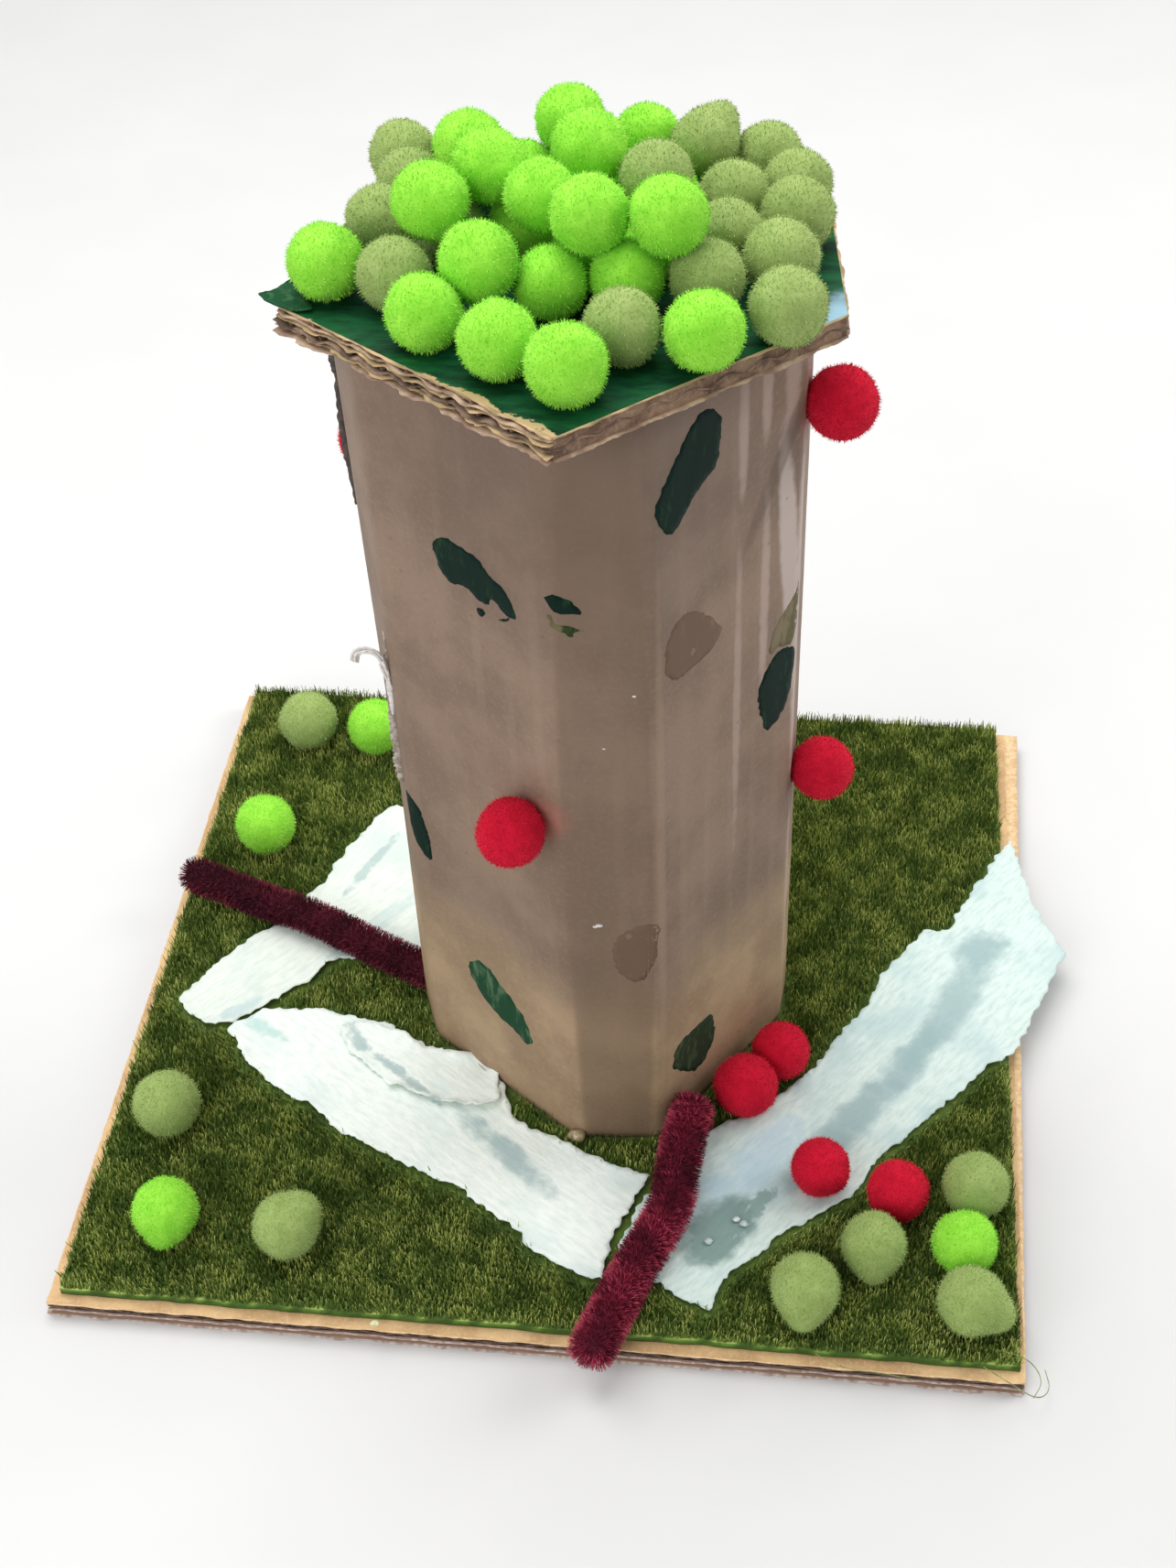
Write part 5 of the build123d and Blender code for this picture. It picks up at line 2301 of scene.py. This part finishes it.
@dataclass
class RaggedEdge:
    """Torn liners along the cut edges of the base board and the roof board."""

    thickness: float = 0.32
    step: float = 0.7
    flute_pitch: float = 7.6
    right_spread: float = 3.2
    inset: float = 0.6

    def strip(
        self, piece: Piece, start: Vector, end: Vector, out: Vector, up: Vector, reach: float, seed: float,
        finish: int = 0, droop: float = 0.0, sway: float = 0.0, spread: float = 0.0,
    ) -> None:
        """Add one torn strip of liner.

        Args:
            piece: Piece that takes the strip.
            start: First end of the board's edge in millimetres.
            end: Other end.
            out: Direction away from the board.
            up: Direction through the strip's thickness.
            reach: Farthest tear beyond the edge.
            seed: Place in the noise.
            finish: Number of the material.
            droop: How far the torn edge bends down.
            sway: How far the strip swings up and down with the flutes.
            spread: How much farther the strip reaches at its other end.
        """
        length = (end - start).length
        count = max(2, round(length / self.step))
        half = up * self.thickness / 2
        rings = []
        for index in range(count + 1):
            share = index / count
            reached = share * length
            base = start.lerp(end, share)
            swing = math.sin(2 * math.pi * reached / self.flute_pitch + seed)
            base += up * sway * (swing + 0.6 * wobble((index, seed), 7.0, seed + 2))
            tear = 0.5 + 0.55 * wobble((reached, seed), 4.5, seed)
            tear += 0.3 * wobble((reached, seed), 1.3, seed + 4)
            far = reach * max(0.05, tear) + spread * share
            bend = droop * max(0.0, wobble((index, seed), 8.0, seed + 7))
            bend += 0.12 * wobble((index, seed), 3.0, seed)
            inner = base - out * self.inset
            tip = base + out * far - up * bend
            middle = base + out * far * 0.3 - up * bend * 0.2
            under = (inner - half, middle - half, tip - half * 0.4)
            rings.append((*under, tip + half * 0.4, middle + half, inner + half))
        places = [spot * MM for ring in rings for spot in ring]
        wide = len(rings[0])
        faces = turned(net(count, wide, wide))
        faces += [tuple(range(wide)), tuple(count * wide + side for side in reversed(range(wide)))]
        if (end - start).cross(out).dot(up) >= 0:
            faces = [tuple(reversed(face)) for face in faces]
        piece.join(places, faces, finish)

    def base(self) -> None:
        """Fray the base board's liners on all four sides."""
        low, high = (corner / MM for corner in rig.box("base_board"))
        piece = Piece()
        up = Vector((0, 0, 1))
        near, far = (low.x, low.y, 0), (high.x, high.y, 0)
        east, west = (high.x, low.y, 0), (low.x, high.y, 0)
        sides = {
            "front": (near, east, (0, -1, 0)), "left": (near, west, (-1, 0, 0)),
            "right": (east, far, (1, 0, 0)), "back": (west, far, (0, 1, 0)),
        }
        layers = (
            (high.z - 0.2, 0.45, 0, 0.2, 0.0), (high.z - 1.3, 0.12, 2, 0.0, 0.25),
            (low.z + 1.9, 0.45, 1, 0.0, 0.12), (low.z + 0.2, 0.9, 1, -0.2, 0.0),
        )
        for number, (side, ends) in enumerate(sides.items()):
            start, end, out = map(Vector, ends)
            for level, reach, finish, droop, sway in layers:
                seed = 1.0 + number + 2.3 * level
                spread = self.right_spread if side == "right" and finish == 0 else 0.0
                rise = up * level
                self.strip(piece, start + rise, end + rise, out, up, reach, seed, finish, droop, sway, spread)
        finish_piece(
            piece, "base_liner_tears", Slot.KRAFT,
            PlainFinish("torn_liner", rgb(214, 176, 128), rgb(232, 200, 156)),
            PlainFinish("torn_underside", rgb(216, 200, 190), rgb(172, 148, 134)),
            PlainFinish("board_flutes", rgb(118, 96, 84), rgb(76, 60, 54)),
        )

    def roof(self, roof: "Roof") -> None:
        """Fray the roof board's liners along its five sides.

        Args:
            roof: The roof board.
        """
        piece = Piece()
        layers = {
            "plain": ((0.95, 0.8, 0, 0.0), (0.5, 0.7, 2, 0.5), (0.05, 1.3, 1, 0.0)),
            "crushed": (
                (0.95, 0.9, 0, 0.0), (0.78, 1.4, 1, 0.35), (0.62, 1.5, 0, 0.4), (0.42, 1.9, 2, 0.5),
                (0.25, 2.2, 0, 0.35), (0.04, 2.7, 1, 0.1),
            ),
        }
        left = roof.corners[roof.left_corner()]
        for number, (a, b) in enumerate(around(roof.corners)):
            start, end = roof.on_top(a), roof.on_top(b)
            out = (end - start).normalized().cross(roof.normal).normalized()
            for share, reach, finish, sway in layers["crushed" if a is left else "plain"]:
                drop = roof.normal * roof.thickness * (1 - share)
                seed = 20.0 + number + 3 * share
                self.strip(piece, start - drop, end - drop, out, roof.normal, reach, seed, finish, 0.5, sway)
        finish_piece(
            piece, "roof_liner_tears", Slot.PAINTED,
            PlainFinish("torn_roof_liner", rgb(202, 172, 128), rgb(146, 128, 90), 5.0),
            PlainFinish("torn_roof_underside", rgb(196, 168, 140), rgb(140, 112, 92), 4.0),
            PlainFinish("crushed_flutes", rgb(150, 124, 104), rgb(92, 72, 60), 3.0),
        )


@dataclass
class Roof:
    """Roof board read from the frame: its corners in plan, the plane of its top and its thickness."""

    corners: list[Vector]
    level: tuple[float, float, float]
    normal: Vector
    thickness: float
    peel: float = 0.3
    peel_curl: float = 0.045
    peel_gap: float = 0.08

    @classmethod
    def from_frame(cls, tower: TowerShape) -> "Roof":
        """Read the board, whose underside lies on the tower's top.

        Args:
            tower: Outer face of the tower.

        Returns:
            The roof.
        """
        level, along_x, along_y = tower.top
        normal = Vector((-along_x, -along_y, 1.0)).normalized()
        points = node_points("roof_board")
        heights = (points[:, 2] - level - along_x * points[:, 0] - along_y * points[:, 1]) * normal.z
        thickness = float(heights.max())
        tops = points[heights > thickness - 0.01]
        corners = plan_corners(tops[:, :2], 5.0)
        return cls(corners, fit_plane(tops), normal, thickness)

    def on_top(self, spot: Vector) -> Vector:
        """Return the place on the painted side over a plan point."""
        level, along_x, along_y = self.level
        return Vector((spot.x, spot.y, level + along_x * spot.x + along_y * spot.y))

    def left_corner(self) -> int:
        """Return the number of the corner farthest left."""
        return min(range(len(self.corners)), key=lambda index: self.corners[index].x)

    def dress(self, tower: TowerShape) -> None:
        """Give the frame's board its paint.

        Args:
            tower: Outer face of the tower.
        """
        origin = Vector((0, 0, tower.top[0])) * MM
        left = self.left_corner()
        shown = [self.corners[(left + step) % len(self.corners)] for step in range(3)]
        finish = PaintedFinish("roof_paint", origin, self.normal, self.thickness * MM, shown)
        dress_node("roof_board", finish.material())

    def curled_corner(self) -> None:
        """Peel the painted liner off the left corner, curling up."""
        left = self.left_corner()
        corner = self.corners[left]
        to_front = (self.corners[(left + 1) % len(self.corners)] - corner).normalized()
        to_back = (self.corners[left - 1] - corner).normalized()
        away = Vector((-1.0, 0.0))
        shape = [
            corner + to_front * 5.0, corner + to_front * 8.0 + to_back * 2.0, corner + to_back * 9.0 - away,
            corner + to_back * 6.5 + away * 0.6, corner + to_back * 1.2 + away * 3.6, corner + away * 2.2,
        ]
        outline = torn_outline([tuple(spot) for spot in shape], 0.5, 0.3, 5.0)
        spots, triangles = fill_outline(outline, 0.7)
        inner = corner + (to_front + to_back) * 3.0

        def rise(spot: Spot) -> float:
            """Height of the peeled liner over the board."""
            return self.peel_gap + self.peel_curl * max(0.0, (Vector(spot) - inner).length - 1.5) ** 2

        piece = Piece()
        closed_film(
            piece, spots, triangles,
            lambda spot: (self.on_top(Vector(spot)) + self.normal * (rise(spot) + self.peel)) * MM,
            lambda spot: (self.on_top(Vector(spot)) + self.normal * rise(spot)) * MM,
        )
        finish = DaubFinish("peeled_paint", rgb(26, 74, 46), rgb(60, 104, 62), 0.5, 0.45)
        finish_piece(piece, "roof_curled_corner", Slot.PAINTED, finish)


def ribbon(
    piece: Piece, path: Sequence[Vector], side: Vector, width: float, thickness: float, finish: int,
    seed: float,
) -> None:
    """Add a thin torn ribbon along a path.

    Args:
        piece: Piece that takes the ribbon.
        path: Corners of the path in millimetres.
        side: Direction of the ribbon's width.
        width: Width at its middle.
        thickness: Thickness.
        finish: Number of the material.
        seed: Place in the noise.
    """
    for _ in range(3):
        cut = [path[0]]
        for a, b in zip(path, path[1:]):
            cut += [a.lerp(b, 0.25), a.lerp(b, 0.75)]
        path = [*cut, path[-1]]
    last = len(path) - 1
    places = []
    for index, spot in enumerate(path):
        ahead = (path[min(index + 1, last)] - path[max(index - 1, 0)]).normalized()
        across = (side - ahead * side.dot(ahead)).normalized()
        up = ahead.cross(across) * thickness / 2
        share = 0.3 + 0.7 * math.sin(math.pi * (index + 0.5) / (last + 1))
        reach = across * width / 2 * share * (1 + 0.5 * wobble((index, seed), 2.3, seed))
        places += [(spot + offset) * MM for offset in (-reach - up, reach - up, reach + up, -reach + up)]
    ends = [(0, 1, 2, 3), tuple(last * 4 + corner for corner in (3, 2, 1, 0))]
    piece.join(places, ends + turned(net(last, 4, 4)), finish)


@dataclass(frozen=True)
class Blob:
    """Small lump in millimetres: centre, half sizes and number of the material."""

    centre: tuple[float, float, float]
    half: tuple[float, float, float]
    finish: int


@dataclass
class SmallThings:
    """Torn plies at the tower's left edge, glue, specks and loose fibres."""

    face: TowerFace

    def build(self) -> None:
        """Make the torn plies, the lumps and the fibres."""
        self.plies()
        self.lumps()
        self.fibres()

    def plies(self) -> None:
        """Make the frayed curl, the torn plies below it and the lap's cut edge above, whose dark grey colour is
        painted shade.
        """
        piece = Piece()
        first = self.face.shape.panels[1].first
        scale = 1 / MM
        out = Vector((-1.0, -0.25, 0.0))
        root = self.face.point(first - 2.3, 117.8) * scale
        hooks = (
            (
                (0, 0, -4.5), (-0.5, -0.2, 1.0), (-1.5, -0.4, 5.0), (-3.8, -0.8, 6.6), (-6.2, -1.0, 6.0),
                (-7.0, -1.0, 3.2),
            ), (
                (0, 0, -4.0), (-0.6, -0.3, 0.6), (-1.8, -0.5, 4.4), (-3.9, -0.9, 5.6), (-5.8, -1.1, 5.2),
                (-6.2, -1.0, 3.0),
            ),
            ((0.3, 0.2, -5.0), (-0.8, -0.4, -1.0), (-1.4, -0.6, 2.0)),
        )
        fan, side = Vector((0.1, 0.2, -0.25)), Vector((0.3, -0.7, 0.7))
        for number, hook in enumerate(hooks):
            path = [root + Vector(step) for step in hook]
            for strand in range(5):
                shifted = [spot + fan * (strand - 2) * (0.5 + 0.1 * k) for k, spot in enumerate(path)]
                ribbon(piece, shifted, side, 1.7 - 0.2 * number, 0.4, 0, 2.0 + number + 5 * strand)
        runs = [
            (first - 2.6, 118.0, 106.0, 1.3, 0), (first - 3.6, 108.0, 94.0, 2.2, 1),
            (first - 3.8, 98.0, 86.0, 2.6, 1), (first - 2.4, 128.0, 119.0, 0.9, 1),
            # Finish 2: the lap's cut edge, dark grey as painted shade.
            (-0.6, 198.0, 176.0, 2.2, 2), (-0.2, 180.0, 150.0, 1.7, 2),
        ]
        for number, (along, high, low, width, finish) in enumerate(runs):
            steps = [high + (low - high) * share / 8 for share in range(9)]
            path = [
                self.face.point(along, up) * scale + out * (0.3 + 0.5 * wobble((up, number), 4.0))
                for up in steps
            ]
            ribbon(piece, path, out, width, 0.45, finish, 7.0 + number)
        finish_piece(
            piece, "torn_plies", Slot.KRAFT,
            PlainFinish("white_ply", rgb(244, 240, 236), rgb(222, 214, 208)),
            PlainFinish("grey_ply", rgb(196, 184, 174), rgb(150, 134, 122)),
            # Painted shade: the lap's cut edge, dark grey in its own shadow.
            PlainFinish("dark_edge", rgb(62, 58, 56), rgb(92, 80, 72)),
        )

    def lumps(self) -> None:
        """Make the glue at the foot, the white specks and the speck on the turf."""
        panel = self.face.shape.panels[2].first
        scale = 1 / MM
        specks = [(7.1, 77.0, 0.75), (6.2, 76.6, 0.5), (15.2, 138.5, 0.4), (9.4, 125.6, 0.35)]
        blobs = [Blob((5.5, -46.6, 8.6), (1.9, 1.5, 1.5), 1), Blob((4.2, -46.3, 8.2), (1.2, 1.2, 1.0), 1)]
        blobs += [Blob((-31.3, -97.2, 7.2), (1.0, 0.7, 0.5), 2)]
        drops = ((41.9, -65.3), (43.7, -66.4), (36.4, -71.5))
        blobs += [Blob((x, y, 8.35), (0.9, 0.8, 0.35), 3) for x, y in drops]
        for reach, up, size in specks:
            place = tuple(self.face.point(panel + reach, up) * scale)
            blobs.append(Blob(place, (size, size * 0.6, size * 0.5), 0))
        piece = Piece()
        for number, blob in enumerate(blobs):
            shell = bmesh.new()
            bmesh.ops.create_icosphere(shell, subdivisions=3, radius=1.0)
            places = []
            for vertex in shell.verts:
                out = vertex.co.normalized()
                out = out * (1 + 0.25 * wobble(out * 1.3, 1.0, number + 0.5))
                places.append((Vector(blob.centre) + Vector(blob.half) * out) * MM)
            piece.join(places, [tuple(v.index for v in f.verts) for f in shell.faces], blob.finish)
            shell.free()
        finish_piece(
            piece, "glue_and_specks", Slot.KRAFT,
            PlainFinish("white_speck", rgb(232, 228, 222), rgb(210, 204, 198)),
            PlainFinish("hot_glue", rgb(168, 150, 112), rgb(138, 122, 86), 1.5, 0.3, 0.8),
            PlainFinish("pale_speck", rgb(222, 214, 176), rgb(190, 190, 140)),
            PlainFinish("wet_drop", rgb(196, 208, 204), rgb(168, 186, 180), 1.0, 0.06, 1.0),
        )

    def fibres(self) -> None:
        """Make the loose fibres at the front right corner."""
        hairs = [
            [(94, -96, 7.6), (100, -100, 8.0), (105, -101, 5.0), (108, -97, 2.5), (107, -92, 2.0)],
            [(97, -92, 7.8), (103, -94, 9.0), (106, -98, 7.5), (104, -101, 5.5)],
            [(60, -96, 7.4), (66, -99, 7.4), (74, -98.6, 6.4), (80, -99.4, 6.2)],
        ]
        piece = Piece()
        for number, hair in enumerate(hairs):
            path = [Vector(spot) for spot in hair]
            ribbon(piece, path, Vector((0, 0, 1)), 0.18, 0.14, 0, 3.0 + number)
        finish = PlainFinish("loose_fibre", rgb(150, 160, 96), rgb(104, 122, 60))
        finish_piece(piece, "loose_fibres", Slot.TURF, finish)


def dress_node(node: str, material: Material) -> None:
    """Put one material on a frame node that stays.

    Args:
        node: Name of the node.
        material: The material.
    """
    kept = frame["nodes"][node]
    kept.data.materials.clear()
    kept.data.materials.append(material)
    log.info("%s keeps its shape with %s", node, material.name)


@dataclass
class Studio:
    """Plain pale floor, soft light, and the camera at the photograph's angle."""

    azimuth: float = math.radians(8.279)
    elevation: float = math.radians(43.994)
    roll: float = math.radians(2.580)
    place: Vector = Vector((53.98, -339.94, 404.04))
    lens: float = 50.44
    floor_size: float = 4.0

    def build(self) -> None:
        """Set up the stage."""
        self.floor()
        self.lamps()
        self.camera()
        bpy.context.scene.view_settings.view_transform = "Standard"

    def floor(self) -> None:
        """Lay the floor just under the base board."""
        half = self.floor_size / 2
        piece = Piece()
        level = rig.bounds()[0].z
        plan = ((-half, -half), (half, -half), (half, half), (-half, half))
        corners = [Vector((x, y, level)) for x, y in plan]
        piece.join(corners, [(0, 1, 2, 3)])
        material, graph, shader = start_material("floor", 0.9)
        grain = graph.noise(position_mm(graph), 0.02, 2.0)
        graph.feed(shader.inputs["Base Color"], graph.mix(grain, rgb(214, 213, 211), rgb(220, 219, 217)))
        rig.stage(piece.object("floor", [material]))

    def lamps(self) -> None:
        """Hang one wide lamp overhead, one at the right and a weak one in front."""
        world = bpy.data.worlds.new("studio")
        world.use_nodes = True
        background = world.node_tree.nodes["Background"].inputs
        background["Color"].default_value = (0.93, 0.96, 1.0, 1.0)
        background["Strength"].default_value = 0.45
        bpy.context.scene.world = world
        target = Vector((0.0, 0.0, 0.09))
        lamps = [
            ("lamp_over", Vector((-0.15, 0.25, 0.95)), 0.8, 8.4),
            ("lamp_right", Vector((0.75, 0.35, 0.55)), 0.5, 3.6),
            ("lamp_front", Vector((-0.45, -0.8, 0.6)), 0.7, 4.8),
        ]
        for name, place, size, power in lamps:
            lamp = bpy.data.lights.new(name, "AREA")
            lamp.size = size
            lamp.energy = power
            holder = bpy.data.objects.new(name, lamp)
            holder.location = place
            holder.rotation_euler = (target - place).to_track_quat("-Z", "Y").to_euler()
            bpy.context.scene.collection.objects.link(holder)

    def camera(self) -> None:
        """Set the camera from its azimuth, elevation, roll and place."""
        back = Vector((
            math.sin(self.azimuth) * math.cos(self.elevation),
            -math.cos(self.azimuth) * math.cos(self.elevation),
            math.sin(self.elevation),
        ))
        right = (-back).cross(Vector((0, 0, 1))).normalized()
        down = (-back).cross(right)
        cosine, sine = math.cos(self.roll), math.sin(self.roll)
        turned_right = right * cosine + down * sine
        turned_down = down * cosine - right * sine
        axes = Matrix((turned_right, -turned_down, back)).transposed()
        lens = bpy.data.cameras.new("camera")
        lens.lens = self.lens
        lens.sensor_width = 36.0
        lens.clip_start = 0.01
        camera = bpy.data.objects.new("camera", lens)
        camera.matrix_world = Matrix.Translation(self.place * MM) @ axes.to_4x4()
        bpy.context.scene.collection.objects.link(camera)
        bpy.context.scene.camera = camera


def main() -> None:
    """Build every piece in order and write both boxes."""
    logging.basicConfig(level=logging.INFO, format="%(name)s %(message)s")
    boxes = [[list(corner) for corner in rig.bounds()]]
    wall = StockFinish("wall_stock", rgb(120, 98, 82), rgb(96, 78, 64), rgb(140, 116, 98))
    dress_node("base_board", StockFinish("base_stock").material())
    dress_node("tower_wall", wall.material())
    tower = TowerShape.from_frame()
    roof = Roof.from_frame(tower)
    roof.dress(tower)
    edges = RaggedEdge()
    edges.base()
    edges.roof(roof)
    roof.curled_corner()
    face = TowerFace(tower)
    face.build()
    WallMarks(face).build()
    SmallThings(face).build()
    papers = RiverPapers().build()
    Turf().build(tower, papers)
    Stems().build()
    Pompoms().build()
    boxes.append([list(corner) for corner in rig.bounds()])
    with open(SIZE_FILE, "w") as file:
        json.dump(boxes, file)
    Studio().build()


if __name__ == "__main__":
    main()
